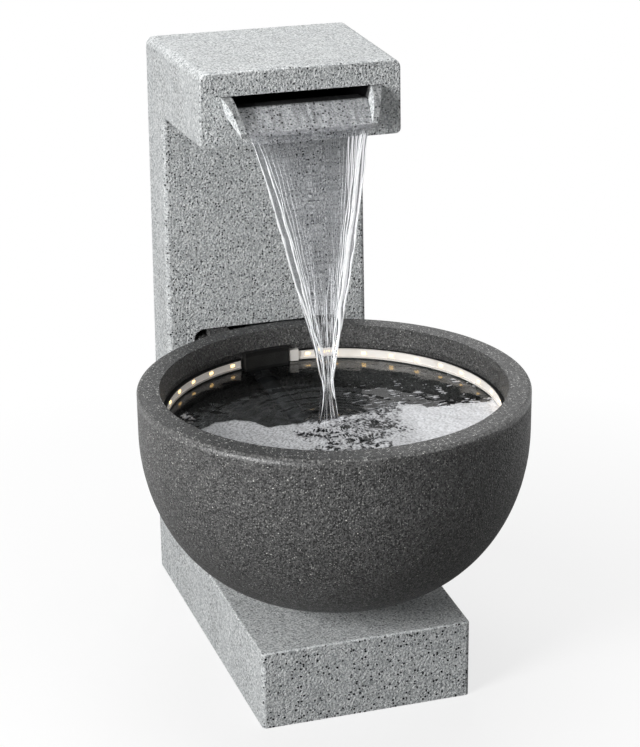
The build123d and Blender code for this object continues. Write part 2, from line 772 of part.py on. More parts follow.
def impeller():
    """Magnet rotor with a bladed disc, turning on the shaft."""
    disc_y = pump_front_y + volute_depth - bush_length
    rear_y = pump_front_y + well_depth - rotor_gap
    rotor = rod(rotor_radius, (hose_x, disc_y, pump_axis_z), (hose_x, rear_y, pump_axis_z))
    disc = rod(blade_radius, (hose_x, disc_y, pump_axis_z), (hose_x, disc_y + disc_thickness, pump_axis_z))
    hub = rod(hub_bore, (hose_x, pump_front_y + blade_inset, pump_axis_z), (hose_x, disc_y, pump_axis_z))
    blade = block((0, blade_radius), (pump_front_y + blade_inset, disc_y + disc_thickness / 2),
                  (-blade_thickness / 2, blade_thickness / 2))
    blades = [Pos(hose_x, 0, pump_axis_z) * Rot(0, 360 / blade_count * number, 0) * blade
              for number in range(blade_count)]
    wheel = rotor + disc + hub
    for piece in blades:
        wheel += piece
    return wheel - rod(shaft_radius + running_gap, (hose_x, pump_front_y - strainer_depth, pump_axis_z),
                       (hose_x, pump_front_y + pump_length, pump_axis_z))


def impeller_shaft():
    """Ceramic shaft that the impeller turns on."""
    return rod(shaft_radius, (hose_x, pump_front_y - volute_plate, pump_axis_z),
               (hose_x, pump_front_y + well_depth + bush_length, pump_axis_z))


def shaft_bushes():
    """Rubber bushes at both ends of the shaft."""
    front = pipe(hub_bore - slip_gap, shaft_radius + slip_gap,
                 (hose_x, pump_front_y - volute_plate, pump_axis_z), (hose_x, pump_front_y, pump_axis_z))
    rear = pipe(bush_radius, shaft_radius + slip_gap, (hose_x, pump_front_y + well_depth, pump_axis_z),
                (hose_x, pump_front_y + well_depth + bush_length, pump_axis_z))
    return Compound(children=[front, rear])


def flow_knob():
    """Flow regulator on the strainer's face, held by a disc behind the wall."""
    face_y = pump_front_y - strainer_depth
    head_y = face_y - seat_gap
    catch_y = face_y + strainer_wall + seat_gap
    head = rod(knob_radius, (hose_x, head_y - knob_thickness / 2, pump_axis_z), (hose_x, head_y, pump_axis_z))
    grip = block((hose_x - grip_length / 2, hose_x + grip_length / 2),
                 (head_y - knob_thickness, head_y - cut_margin),
                 (pump_axis_z - grip_width / 2, pump_axis_z + grip_width / 2))
    stem = rod(knob_stem_radius, (hose_x, head_y - cut_margin, pump_axis_z),
               (hose_x, catch_y + cut_margin, pump_axis_z))
    catch = rod(catch_radius, (hose_x, catch_y, pump_axis_z),
                (hose_x, catch_y + catch_thickness, pump_axis_z))
    return head + grip + stem + catch


def suction_cups():
    """Four rubber cups under the pump."""
    reach_x = pump_width / 2 - cup_inset
    places = [(hose_x + side * reach_x, pump_front_y + along) for side in (-1, 1)
              for along in (cup_inset, pump_length - cup_inset)]
    cup = Cone(cup_radius, cup_top_radius, cup_height)
    return Compound(children=[Pos(x, y, floor_z + cup_height / 2) * cup for x, y in places])


def outlet_nozzle():
    """Nozzle in the pump's outlet with a barb for the hose."""
    low = pump_axis_z + volute_radius
    flange_top = pump_top_z + flange_thickness
    stem = rod(outlet_stem_radius, (hose_x, outlet_y, low), (hose_x, outlet_y, pump_top_z))
    flange = rod(hose_radius, (hose_x, outlet_y, pump_top_z), (hose_x, outlet_y, flange_top))
    barb = rod(hose_bore - slip_gap, (hose_x, outlet_y, flange_top),
               (hose_x, outlet_y, flange_top + barb_length))
    bore = rod(fitting_bore, (hose_x, outlet_y, floor_z), (hose_x, outlet_y, rim_height))
    return stem + flange + barb - bore


def pump_hose_points():
    """Route of the hose from the pump's outlet to the bulkhead's barb."""
    start_z = pump_top_z + flange_thickness + seat_gap
    end_y = pad_inner_y - seal_thickness - flange_thickness - seat_gap
    return [(hose_x, outlet_y, start_z), (hose_x, outlet_y, hose_z), (hose_x, end_y, hose_z)]


def pump_hose():
    """Hose from the pump to the bulkhead, under water."""
    return hose(pump_hose_points(), hose_radius, hose_bore, barb_length)


def rear_cover():
    """Pull-off access cover, flush in a rebate in the column's back, with a finger hole."""
    inner_y = back_y - hatch_plate
    width = hatch_width + 2 * hatch_rebate - 2 * seat_gap
    height = hatch_height + 2 * hatch_rebate - 2 * seat_gap
    finger_hole = Pos(0, finger_hole_rise) * Circle(finger_hole_radius)
    plate = RectangleRounded(width, height, hatch_corner) - finger_hole
    fit_width = hatch_width - 2 * seat_gap
    fit_height = hatch_height - 2 * seat_gap
    wall = hatch_plate - seat_gap
    ring = RectangleRounded(fit_width, fit_height, hatch_corner) - RectangleRounded(
        fit_width - 2 * wall, fit_height - 2 * wall, hatch_corner - wall)
    place = Pos(0, hatch_centre_height)
    cover = extrude(Plane.XZ.offset(-back_y) * place * plate, hatch_plate)
    return cover + extrude(Plane.XZ.offset(-inner_y - cut_margin) * place * ring, hatch_skirt)


def cable_gland():
    """Rubber gland in the plinth's back wall, for the cables."""
    wall_y = back_y - frame_wall
    sleeve = rod(gland_radius - slip_gap, (gland_x, wall_y - gland_flange_thickness, gland_height),
                 (gland_x, back_y, gland_height))
    flange = rod(gland_flange, (gland_x, wall_y - gland_flange_thickness, gland_height),
                 (gland_x, wall_y, gland_height))
    bore = rod(gland_bore, (gland_x, column_front_y, gland_height),
               (gland_x, back_y + cut_margin, gland_height))
    return sleeve + flange - bore


def water_sheet():
    """Falling water: a parabolic sheet that leaves the lip, draws in to a neck and meets the pool."""
    start_y = lip_y - seat_gap
    start_z = lip_z + seat_gap
    end_z = water_z + seat_gap
    slope = spout_drop / spout_reach
    bend_y = start_y - sheet_throw / 2
    bend_drop = slope * sheet_throw / 2
    foot_y = start_y - sheet_throw
    top_z = start_z + sheet_thickness
    front = [(start_y, start_z), (bend_y, start_z - bend_drop), (foot_y, end_z)]
    outer = [(start_y, top_z), (bend_y, top_z - bend_drop), (foot_y - sheet_thickness, end_z)]
    edges = Curve() + [Bezier(*front), Bezier(*outer), Line(front[0], outer[0]), Line(front[2], outer[2])]
    profile = extrude(Plane.YZ * make_face(edges), spout_lip_width, both=True)
    neck_z = water_z + sheet_neck_above_pool
    half_lip = sheet_lip_width / 2
    half_neck = sheet_neck_width / 2
    half_foot = sheet_foot_width / 2
    outline = [
        (-half_lip, top_z + cut_margin),
        (half_lip, top_z + cut_margin),
        (sheet_neck_x + half_neck, neck_z),
        (sheet_foot_x + half_foot, end_z - cut_margin),
        (sheet_foot_x - half_foot, end_z - cut_margin),
        (sheet_neck_x - half_neck, neck_z),
    ]
    return profile & extrude(Plane.XZ * make_face(Polyline(*outline, close=True)), back_y * 2, both=True)


def water_pool():
    """Water in the bowl, clear of the pump, the hose and the fittings in it."""
    pool = turned(basin_face(seat_gap, water_z))
    inner_end = pad_inner_y - seal_thickness - flange_thickness
    clamp_reach = math.hypot(hose_radius + clamp_thickness + clamp_ear, clamp_ear / 2) + seat_gap
    start, corner, end = pump_hose_points()
    hose_space = hose([start, corner, end], hose_radius + seat_gap, 0, barb_length)
    fitting_space = rod(pad_radius + seat_gap, (hose_x, inner_end - seat_gap, hose_z),
                        (hose_x, back_y, hose_z))
    clamp_space = rod(clamp_reach, (hose_x, outlet_y, pump_top_z - cut_margin), corner)
    clamp_space = clamp_space + rod(clamp_reach, corner, end)
    outer = recess_radius - seat_gap
    cover_low = rim_height - cover_below_rim - seat_gap
    cover_space = ring_part(outer - cover_depth - seat_gap, outer + cut_margin, cover_low, rim_height,
                            cover_from - cut_margin, cover_to + cut_margin)
    return pool - pump_block(seat_gap) - hose_space - fitting_space - clamp_space - cover_space


makers = [
    fountain_body, spout_tray, weir_trough, trough_inlet, inlet_seal, inlet_nut, riser_hose, riser_clamp,
    rear_cover, cable_gland, bowl, bulkhead_fitting, bulkhead_seal, bulkhead_nut, led_strip, led_ribbon,
    led_chips, strip_end_cap, cable_cover, cable_grommet, pump_housing, volute_cover, pump_strainer,
    impeller, impeller_shaft, shaft_bushes, flow_knob, suction_cups, outlet_nozzle, pump_hose, hose_clamps,
    water_sheet, water_pool,
]
os.makedirs("parts", exist_ok=True)
for maker in makers:
    export_step(maker(), "parts/" + maker.__name__ + ".step")
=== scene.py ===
# %% [markdown]
# # Garden fountain
# A terrace fountain in cast stone: a pale C-shaped frame pours a sheet of water from a spout in its head into
# a dark bowl, where a strip of lamps runs round the wall just above the water. The stone, the plastic and the
# lamps are CAD pieces that only need their finish. The water is modelled here, because moving water has a
# form that CAD gives only in outline.

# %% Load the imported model
import json
import math
from types import SimpleNamespace
import bmesh
import bpy
import numpy as np
from mathutils import Matrix, Vector, kdtree, noise


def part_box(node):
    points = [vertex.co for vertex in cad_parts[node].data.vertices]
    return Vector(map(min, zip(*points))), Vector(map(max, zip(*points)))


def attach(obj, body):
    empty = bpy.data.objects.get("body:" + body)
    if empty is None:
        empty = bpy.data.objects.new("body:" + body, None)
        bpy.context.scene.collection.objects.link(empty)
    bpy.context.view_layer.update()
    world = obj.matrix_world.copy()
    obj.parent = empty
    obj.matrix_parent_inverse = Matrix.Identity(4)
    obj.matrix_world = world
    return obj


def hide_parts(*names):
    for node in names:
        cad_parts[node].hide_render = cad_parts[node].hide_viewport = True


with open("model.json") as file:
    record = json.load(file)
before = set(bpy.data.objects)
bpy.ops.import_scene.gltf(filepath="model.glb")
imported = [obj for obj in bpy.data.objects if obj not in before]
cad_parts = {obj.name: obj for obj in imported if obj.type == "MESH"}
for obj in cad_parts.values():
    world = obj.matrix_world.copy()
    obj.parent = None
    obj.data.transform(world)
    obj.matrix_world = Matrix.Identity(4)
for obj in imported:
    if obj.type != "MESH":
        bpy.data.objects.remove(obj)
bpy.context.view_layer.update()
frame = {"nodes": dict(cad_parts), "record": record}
mm = 0.001

# %% [markdown]
# ## The camera
# The photograph was taken from the left, a little above, with a long lens. The place and the three angles
# come from fitting a perspective camera to the corners of the stone frame and to the bowl's rim. A turned
# camera is easiest to set by its own three axes: right, up and the opposite of where it looks.

# %% Camera
image_width = 640
image_height = 747
focal_length_px = 2090.0
sensor_size = 36.0
camera_place = Vector((-0.6409, -2.0876, 1.1649))
camera_yaw = math.radians(17.117)
camera_pitch = math.radians(20.754)
camera_roll = math.radians(-0.679)

forward = Vector((
    math.sin(camera_yaw) * math.cos(camera_pitch),
    math.cos(camera_yaw) * math.cos(camera_pitch),
    -math.sin(camera_pitch),
))
level_right = Vector((math.cos(camera_yaw), -math.sin(camera_yaw), 0))
upward = level_right.cross(forward)
camera_right = math.cos(camera_roll) * level_right + math.sin(camera_roll) * upward
camera_up = math.cos(camera_roll) * upward - math.sin(camera_roll) * level_right

camera = bpy.data.objects.new("camera", bpy.data.cameras.new("camera"))
camera.data.sensor_width = sensor_size
camera.data.lens = sensor_size * focal_length_px / max(image_width, image_height)
turn = Matrix((camera_right, camera_up, -forward)).transposed().to_4x4()
camera.matrix_world = Matrix.Translation(camera_place) @ turn
bpy.context.scene.collection.objects.link(camera)
bpy.context.scene.camera = camera
print("lens", round(camera.data.lens, 1), "mm")

# %% [markdown]
# ## Nodes
# One small function adds a shader node: its settings are attributes, and an input is a value, an output of
# another node, or a node, which then stands for its first output. Colours are written as sRGB hex values, the
# way a paint chart gives them, and turned to the linear values that shaders work in.

# %% Helpers for materials
# The numbers of the colour sockets on a Mix node, whose names are shared by other kinds of value.
MIX_A, MIX_B, MIX_RESULT = 6, 7, 2


def linear(hex_colour):
    """An sRGB hex value as linear red, green, blue and a full alpha."""
    parts = [int(hex_colour[place:place + 2], 16) / 255 for place in (1, 3, 5)]
    return [((c + 0.055) / 1.055) ** 2.4 if c > 0.04045 else c / 12.92 for c in parts] + [1.0]


def add(tree, kind, inputs=None, **settings):
    """Adds one node with its settings, and sets or links its inputs by name or number."""
    node = tree.nodes.new("ShaderNode" + kind)
    for name, value in settings.items():
        setattr(node, name, value)
    for key, value in (inputs or {}).items():
        source = value.outputs[0] if isinstance(value, bpy.types.Node) else value
        if isinstance(source, bpy.types.NodeSocket):
            tree.links.new(source, node.inputs[key])
        else:
            node.inputs[key].default_value = source
    return node


def new_material(name):
    """An empty node material and its tree."""
    material = bpy.data.materials.new(name)
    material.use_nodes = True
    material.node_tree.nodes.clear()
    return material, material.node_tree


def finish_surface(tree, inputs):
    """The one shader of a material, joined to its output."""
    shader = add(tree, "BsdfPrincipled", inputs)
    add(tree, "OutputMaterial", {"Surface": shader})


print("middle grey in linear light:", round(linear("#808080")[0], 3))

# %% [markdown]
# ## Cast stone
# The frame and the bowl are castings of cement or resin with stone grit, which imitates granite. The mould
# gives a matt, sandy skin. The eye reads it by its grit: black and white grains of one to three millimetres,
# each with its own size, sharp against a mottled ground. A picture of granite would repeat and stretch, so
# the grit comes from cell patterns in space: each cell is one chance of a grain, and the cell's random colour
# decides whether the grain is there and how large it is. The front shows all its grit and other faces less:
# the front's grains stand partly for real grit and partly for painted shade in pits under raking light.

# %% Grains
grain_edge = 0.08


def grains(tree, place, size, share, radius):
    """Mask of scattered grains: one chance in each cell of the given size in metres."""
    cells = add(tree, "TexVoronoi", {"Vector": place, "Scale": 1 / size})
    dice = add(tree, "SeparateColor", {"Color": cells.outputs["Color"]}).outputs
    reach = add(tree, "MapRange", {"Value": dice["Green"], "To Min": radius[0], "To Max": radius[1]})
    inside = add(tree, "Math", {0: reach, 1: cells.outputs["Distance"]}, operation="SUBTRACT")
    edge = add(tree, "MapRange", {"Value": inside, "From Max": grain_edge})
    there = add(tree, "Math", {0: dice["Red"], 1: share}, operation="LESS_THAN")
    return add(tree, "Math", {0: edge, 1: there}, operation="MULTIPLY")


print("soft edge of a grain:", grain_edge, "of its cell")

# %% Skin of cast stone
ground_cell = 1.6 * mm
cloud_size = 40 * mm


def stone_skin(name, ground, grit, sand_size, relief, roughness, gloss, calm=1.0):
    """The skin of all cast stone: a ground of small cells, layers of grit and a sandy relief."""
    material, tree = new_material(name)
    spot = add(tree, "TexCoord").outputs["Object"]
    normal = add(tree, "NewGeometry").outputs["Normal"]
    facing = add(tree, "SeparateXYZ", {0: normal}).outputs
    warp = add(tree, "TexNoise", {"Vector": spot, "Scale": 1 / ground_cell, "Detail": 1.0})
    shift = add(tree, "VectorMath", {0: warp.outputs["Color"], 1: (0.5, 0.5, 0.5)}, operation="SUBTRACT")
    place = add(tree, "VectorMath", {0: shift, 1: (ground_cell,) * 3, 2: spot}, operation="MULTIPLY_ADD")
    cells = add(tree, "TexVoronoi", {"Vector": place, "Scale": 1 / ground_cell})
    dice = add(tree, "SeparateColor", {"Color": cells.outputs["Color"]}).outputs
    colour = add(tree, "Mix", {
        "Factor": dice["Blue"], MIX_A: linear(ground[0]), MIX_B: linear(ground[1]),
    }, data_type="RGBA").outputs[MIX_RESULT]
    # Grit at full strength on the front stands partly for painted shade in pits that raking light darkens.
    grit_and_pit_shade = add(tree, "MapRange", {
        "Value": facing["Y"], "From Min": -0.2, "From Max": -0.8, "To Min": calm, "To Max": 1.0,
    })
    masks = []
    for shade, size, share, radius in grit:
        scattered = grains(tree, place, size, share, radius)
        mask = add(tree, "Math", {0: scattered, 1: grit_and_pit_shade}, operation="MULTIPLY")
        colour = add(tree, "Mix", {
            "Factor": mask, MIX_A: colour, MIX_B: linear(shade),
        }, data_type="RGBA").outputs[MIX_RESULT]
        masks.append(mask)
    cloud = add(tree, "TexNoise", {"Vector": spot, "Scale": 1 / cloud_size, "Detail": 2.0})
    tone = add(tree, "MapRange", {"Value": cloud.outputs["Fac"], "To Min": 0.9, "To Max": 1.1})
    sand = add(tree, "TexNoise", {"Vector": spot, "Scale": 1 / sand_size, "Detail": 2.0, "Roughness": 0.6})
    return SimpleNamespace(
        material=material, tree=tree, spot=spot, normal=normal, facing=facing, dice=dice, masks=masks,
        colour=colour, tone=tone, sand=sand, relief=relief, relief_share=1.0, roughness=roughness,
        gloss=gloss, level=None, curve=None, rim_specks=None)


print("stone ground in cells of", ground_cell / mm, "mm")


# %% Finish of a stone
def finish_stone(stone, top=None):
    """Joins colour, tone and relief of a skin to its shader."""
    tree = stone.tree
    colour = add(tree, "VectorMath", {0: stone.colour, "Scale": stone.tone}, operation="SCALE").outputs[0]
    bump = add(tree, "Bump", {
        "Height": stone.sand.outputs["Fac"], "Distance": stone.relief, "Strength": stone.relief_share,
    })
    if stone.rim_specks:
        colour = add(tree, "Mix", {
            "Factor": stone.rim_specks, MIX_A: colour, MIX_B: linear(top["speck"]),
        }, data_type="RGBA").outputs[MIX_RESULT]
        bump = add(tree, "Bump", {
            "Height": stone.curve, "Distance": top["rounding"] / 2, "Normal": bump,
        }, invert=True)
    finish_surface(tree, {
        "Base Color": colour, "Roughness": stone.roughness, "Specular IOR Level": stone.gloss,
        "Normal": bump,
    })
    print("stone:", stone.material.name)
    return stone.material


# %% [markdown]
# ### Tops, edges and sides
# The same casting looks different on each face. The front is the roughest. The sides have the same grit with
# less sand and the tops are smoother with a patchy sheen. The rounding between front and top is painted
# paler, as a highlight, and the dark stone's tops are painted darker, as shade. The way a face looks tells
# these places apart, so one material does for the whole casting.


# %% Tops and sides
def smooth_faces_and_paint_light(stone, top):
    """Calms the sand on sides, smooths tops, paints shade on tops and a highlight on the front rounding."""
    tree, facing = stone.tree, stone.facing
    level = add(tree, "MapRange", {"Value": facing["Z"], "From Min": 0.75, "From Max": 0.95})
    shoulder = add(tree, "MapRange", {"Value": facing["Z"], "From Min": 0.15, "From Max": 0.4})
    flat = add(tree, "MapRange", {"Value": shoulder, "To Min": 1.0, "To Max": top["relief"]})
    sides = add(tree, "MapRange", {
        "Value": facing["Y"], "From Min": -0.9, "From Max": -0.98,
        "To Min": top["side_relief"], "To Max": 1.0,
    })
    stone.relief_share = add(tree, "Math", {0: flat, 1: sides}, operation="MULTIPLY")
    # A tone under 1 paints the tops darker, as shade.
    wear_and_painted_shade = add(tree, "MapRange", {"Value": level, "To Min": 1.0, "To Max": top["tone"]})
    # The edge factor paints the front rounding paler, as a highlight.
    rounding = add(tree, "Math", {0: shoulder, 1: level}, operation="SUBTRACT")
    front = add(tree, "MapRange", {"Value": facing["Y"], "From Min": -0.15, "From Max": -0.4})
    front_edge = add(tree, "Math", {0: rounding, 1: front}, operation="MULTIPLY")
    painted_edge_highlight = add(tree, "MapRange", {"Value": front_edge, "To Min": 1.0, "To Max": top["edge"]})
    tone = add(tree, "Math", {0: stone.tone, 1: wear_and_painted_shade}, operation="MULTIPLY")
    stone.tone = add(tree, "Math", {0: tone, 1: painted_edge_highlight}, operation="MULTIPLY")
    patchy = add(tree, "MapRange", {
        "Value": stone.dice["Red"], "To Min": 0.6 * top["roughness"], "To Max": 1.8 * top["roughness"],
    })
    stone.roughness = add(tree, "MapRange", {
        "Value": shoulder, "To Min": stone.roughness, "To Max": patchy,
    })
    stone.level = level


pale_ground = ("#A2A6A8", "#F4F6F6")
# Each layer of grit: colour, cell size, share of cells with a grain, and its smallest and largest radius.
pale_grit = [
    ("#F6F8F8", 2.0 * mm, 0.34, (0.24, 0.44)),
    ("#64686C", 2.0 * mm, 0.26, (0.22, 0.42)),
    ("#020306", 3.2 * mm, 0.36, (0.26, 0.46)),
]
pale_sand = 2.7 * mm
# A tone under 1 paints the tops darker, as shade; edge paints a highlight on the front rounding.
pale_top = {"relief": 0.6, "side_relief": 0.4, "tone": 1.0, "edge": 1.15, "roughness": 0.6}
pale_skin = stone_skin(
    "grey_cast_stone", pale_ground, pale_grit, pale_sand,
    relief=3.2 * mm, roughness=0.7, gloss=0.15, calm=0.6)
smooth_faces_and_paint_light(pale_skin, pale_top)
pale_stone = finish_stone(pale_skin)

# %% [markdown]
# ### The bowl
# The bowl is the same casting with dark pigment. Its rim is polished smooth, with clear pale specks, and
# its colour there is painted darker, as shade. The shoulder below it catches a broad highlight, so a bump
# that rises with the height widens the small rounding of the solid there, and the sand lies down. The
# inside of the wall is painted darker, as shade. Whether a place is inside or outside follows from its
# normal and its direction from the bowl's axis.

# %% Dark stone
# The distance from the axis, times how squarely a face looks away from it: more than 0 on the outside.
faces_out = 50 * mm
turns_in = -50 * mm
faces_in = -100 * mm
shoulder_share = 0.3


def shade_inside_and_round_shoulder(stone, top, axis):
    """Paints shade on the inner wall, and rounds and polishes the shoulder under the rim."""
    tree = stone.tree
    from_axis = add(tree, "VectorMath", {0: stone.spot, 1: axis}, operation="SUBTRACT")
    outward = add(tree, "VectorMath", {0: from_axis, 1: (1, 1, 0)}, operation="MULTIPLY")
    product = add(tree, "VectorMath", {0: outward, 1: stone.normal}, operation="DOT_PRODUCT")
    turned = product.outputs["Value"]
    # The inner wall is painted darker, as shade.
    painted_inner_shade = add(tree, "MapRange", {
        "Value": turned, "From Min": turns_in, "From Max": faces_in, "To Min": 1.0, "To Max": 0.6,
    })
    stone.tone = add(tree, "Math", {0: stone.tone, 1: painted_inner_shade}, operation="MULTIPLY")
    height = add(tree, "SeparateXYZ", {0: stone.spot}).outputs["Z"]
    rise = add(tree, "MapRange", {
        "Value": height, "From Min": top["height"] - top["rounding"], "From Max": top["height"],
    })
    outer = add(tree, "Math", {0: turned, 1: faces_out}, operation="GREATER_THAN")
    climb = add(tree, "Math", {0: rise, 1: outer}, operation="MULTIPLY")
    stone.curve = add(tree, "Math", {0: climb, 1: 2.0}, operation="POWER")
    eased = add(tree, "MapRange", {
        "Value": climb, "From Max": shoulder_share, "To Min": 1.0, "To Max": top["relief"],
    })
    stone.relief_share = add(tree, "Math", {0: eased, 1: stone.relief_share}, operation="MINIMUM")
    stone.roughness = add(tree, "MapRange", {
        "Value": climb, "From Max": shoulder_share,
        "To Min": stone.roughness, "To Max": 1.4 * top["roughness"],
    })
    stone.rim_specks = add(tree, "Math", {0: stone.masks[1], 1: stone.level}, operation="MULTIPLY")


dark_ground = ("#050505", "#777776")
dark_grit = [
    ("#050506", 2.0 * mm, 0.46, (0.30, 0.50)),
    ("#A6A6A2", 2.1 * mm, 0.34, (0.24, 0.44)),
    ("#F4F4EE", 4.2 * mm, 0.24, (0.12, 0.20)),
]
dark_sand = 2.1 * mm
# The rim's top is painted darker by tone, as shade, and its front rounding gets a painted highlight.
dark_top = {
    "relief": 0.3, "side_relief": 1.0, "tone": 0.24, "edge": 1.1, "roughness": 0.28,
    "height": 347.5 * mm, "rounding": 10 * mm, "speck": "#C6C6C2",
}
bowl_middle = (0, -58 * mm, 0)
dark_skin = stone_skin(
    "dark_cast_stone", dark_ground, dark_grit, dark_sand, relief=3.0 * mm, roughness=0.5, gloss=0.85)
smooth_faces_and_paint_light(dark_skin, dark_top)
shade_inside_and_round_shoulder(dark_skin, dark_top, bowl_middle)
dark_stone = finish_stone(dark_skin, dark_top)

# %% [markdown]
# ### The wet spout
# Water runs over the spout's floor, so the stone there is darker, in streaks along the flow. Inside the slot
# the stone is painted nearly black, as shade. The edge under the lip is painted darker, as the lip's shade,
# which the clear film in front of it would brighten, and the cheeks' faces that look to the left are painted
# paler, as the light from the left.

# %% Wet stone
streak_width = 4 * mm
streak_length = 40 * mm
wetness = 0.5
slot_mouth_y = 47 * mm
slot_dark_y = 50 * mm
slot_light = 0.12
lip_shade_top = 613.4 * mm
lip_shade_full = 612.6 * mm


def wet_spout(stone):
    """Darkens the floor in streaks, paints shade in the slot and under the lip and light on left faces."""
    tree, facing = stone.tree, stone.facing
    up = add(tree, "MapRange", {"Value": facing["Z"], "From Min": 0.15, "From Max": 0.5})
    scale = (1 / streak_width, 1 / streak_length, 1 / streak_length)
    runs = add(tree, "Mapping", {"Vector": stone.spot, "Scale": scale})
    streak = add(tree, "TexNoise", {"Vector": runs, "Scale": 1.0, "Detail": 2.0})
    depth = add(tree, "MapRange", {
        "Value": streak.outputs["Fac"], "From Min": 0.3, "From Max": 0.7,
        "To Min": 0.7 * wetness, "To Max": 1.3 * wetness,
    })
    dark = add(tree, "Math", {0: up, 1: depth}, operation="MULTIPLY")
    floor_light = add(tree, "Math", {0: 1.0, 1: dark}, operation="SUBTRACT")
    where = add(tree, "SeparateXYZ", {0: stone.spot}).outputs
    # Inside the slot the stone is painted nearly black, as shade.
    slot = add(tree, "MapRange", {
        "Value": where["Y"], "From Min": slot_mouth_y, "From Max": slot_dark_y,
        "To Min": 1.0, "To Max": slot_light,
    })
    # Front faces under the lip are painted darker, as the lip's shade.
    front = add(tree, "MapRange", {"Value": facing["Y"], "From Min": -0.5, "From Max": -0.9})
    below = add(tree, "MapRange", {
        "Value": where["Z"], "From Min": lip_shade_top, "From Max": lip_shade_full,
    })
    under_lip = add(tree, "Math", {0: front, 1: below}, operation="MULTIPLY")
    lip_light = add(tree, "MapRange", {"Value": under_lip, "To Min": 1.0, "To Max": 0.5})
    # Faces that look to the left are painted paler, as light from the left lamp.
    painted_left_light = add(tree, "MapRange", {
        "Value": facing["X"], "From Min": -0.5, "From Max": -0.9, "To Min": 1.0, "To Max": 1.35,
    })
    light = floor_light
    for other in (lip_light, slot, painted_left_light):
        light = add(tree, "Math", {0: light, 1: other}, operation="MULTIPLY")
    stone.tone = add(tree, "Math", {0: stone.tone, 1: light}, operation="MULTIPLY")


wet_skin = stone_skin(
    "wet_cast_stone", pale_ground, pale_grit, pale_sand, relief=0.8 * mm, roughness=0.5, gloss=0.35)
wet_spout(wet_skin)
wet_stone = finish_stone(wet_skin)

# %% [markdown]
# ## Plastic, rubber, steel and ceramic
# The trough, the pump and the fittings are injection-moulded ABS with an eroded mould finish, and the seals
# and cups are moulded rubber. Both are plain colours whose life is in a fine grit that breaks up the gloss,
# so one function makes them with their own colour, roughness and grit. The grit is a tenth of a millimetre or
# two, too fine to show, and is drawn about five times coarser. The light strip and the cable cover reach up
# under the bowl's lip, into a shade that soft studio light fills, so painted shade above a height keeps them
# dark.

# %% Moulded pieces
wear_size = 18 * mm
shade_edge = 0.5 * mm
# The painted shade reaches lower on the right, where the lip hides more of the strip.
shade_drop = 1.3 * mm
shade_drop_x = 60 * mm


def moulded(name, colour, worn_colour, roughness, grit_size, relief, shaded_above=None, **sockets):
    """A moulded surface: its colour, another where it wears, a fine grit and painted shade above a height."""
    material, tree = new_material(name)
    spot = add(tree, "TexCoord").outputs["Object"]
    grit = add(tree, "TexNoise", {"Vector": spot, "Scale": 1 / grit_size, "Detail": 2.0}).outputs["Fac"]
    wear = add(tree, "TexNoise", {"Vector": spot, "Scale": 1 / wear_size, "Detail": 4.0}).outputs["Fac"]
    wear_and_painted_shade = add(tree, "MapRange", {"Value": wear, "From Min": 0.45, "From Max": 0.75})
    shade = add(tree, "Mix", {
        "Factor": wear_and_painted_shade, MIX_A: linear(colour), MIX_B: linear(worn_colour),
    }, data_type="RGBA").outputs[MIX_RESULT]
    # Above the given height the colour turns near black: painted shade under the lip.
    if shaded_above:
        where = add(tree, "SeparateXYZ", {0: spot}).outputs
        drop = add(tree, "MapRange", {"Value": where["X"], "From Max": shade_drop_x, "To Max": shade_drop})
        height = add(tree, "Math", {0: where["Z"], 1: drop}, operation="SUBTRACT")
        painted_shade = add(tree, "MapRange", {
            "Value": height, "From Min": shaded_above, "From Max": shaded_above + shade_edge,
        })
        shade = add(tree, "Mix", {
            "Factor": painted_shade, MIX_A: shade, MIX_B: linear("#101010"),
        }, data_type="RGBA").outputs[MIX_RESULT]
    gloss = add(tree, "MapRange", {"Value": grit, "To Min": roughness - 0.08, "To Max": roughness + 0.08})
    bump = add(tree, "Bump", {"Height": grit, "Distance": relief, "Strength": 0.6})
    finish_surface(tree, {"Base Color": shade, "Roughness": gloss, "Normal": bump, **sockets})
    return material


black_abs = moulded("black_abs", "#1D1E20", "#2A2B2E", 0.5, 0.9 * mm, 0.06 * mm)
# The cable cover and the shaded silicone get painted shade above the height given last.
slate_abs = moulded("slate_abs", "#272726", "#1B1B1A", 0.55, 2.0 * mm, 1.2 * mm, 322 * mm)
grey_abs = moulded("grey_abs", "#8B8E90", "#9A9D9E", 0.5, 0.9 * mm, 0.06 * mm)
black_rubber = moulded("black_rubber", "#1A1A1A", "#262625", 0.75, 0.6 * mm, 0.04 * mm)
pvc_hose = moulded("flexible_pvc", "#202123", "#2B2C2E", 0.4, 1.2 * mm, 0.05 * mm)
white_silicone = moulded("translucent_silicone", "#F2EEE8", "#E6E0D8", 0.45, 1.5 * mm, 0.05 * mm)
shaded_silicone = moulded(
    "silicone_under_the_lip", "#F2EEE8", "#E6E0D8", 0.45, 1.5 * mm, 0.05 * mm, 318.8 * mm)
# The circuit glows a little with the light of the lamps that scatters in the silicone.
white_circuit = moulded(
    "white_solder_resist", "#F4F0EA", "#E9E4DC", 0.4, 0.8 * mm, 0.02 * mm,
    **{"Emission Color": linear("#FFF8F2"), "Emission Strength": 0.14},
)
white_ceramic = moulded("ground_ceramic", "#E6E4DE", "#D9D6CF", 0.3, 0.5 * mm, 0.01 * mm)
dark_ferrite = moulded("bonded_ferrite", "#303134", "#3B3C3F", 0.55, 0.5 * mm, 0.03 * mm)
warm_lamp = moulded(
    "warm_white_lamp", "#FFE9C4", "#FFE2B0", 0.3, 0.5 * mm, 0.01 * mm,
    **{"Emission Color": linear("#FFD48C"), "Emission Strength": 2.8},
)
stainless_steel = moulded("rolled_stainless", "#B8B9BA", "#A5A7A9", 0.32, 0.4 * mm, 0.01 * mm, Metallic=1.0)
print("moulded and rolled materials made")

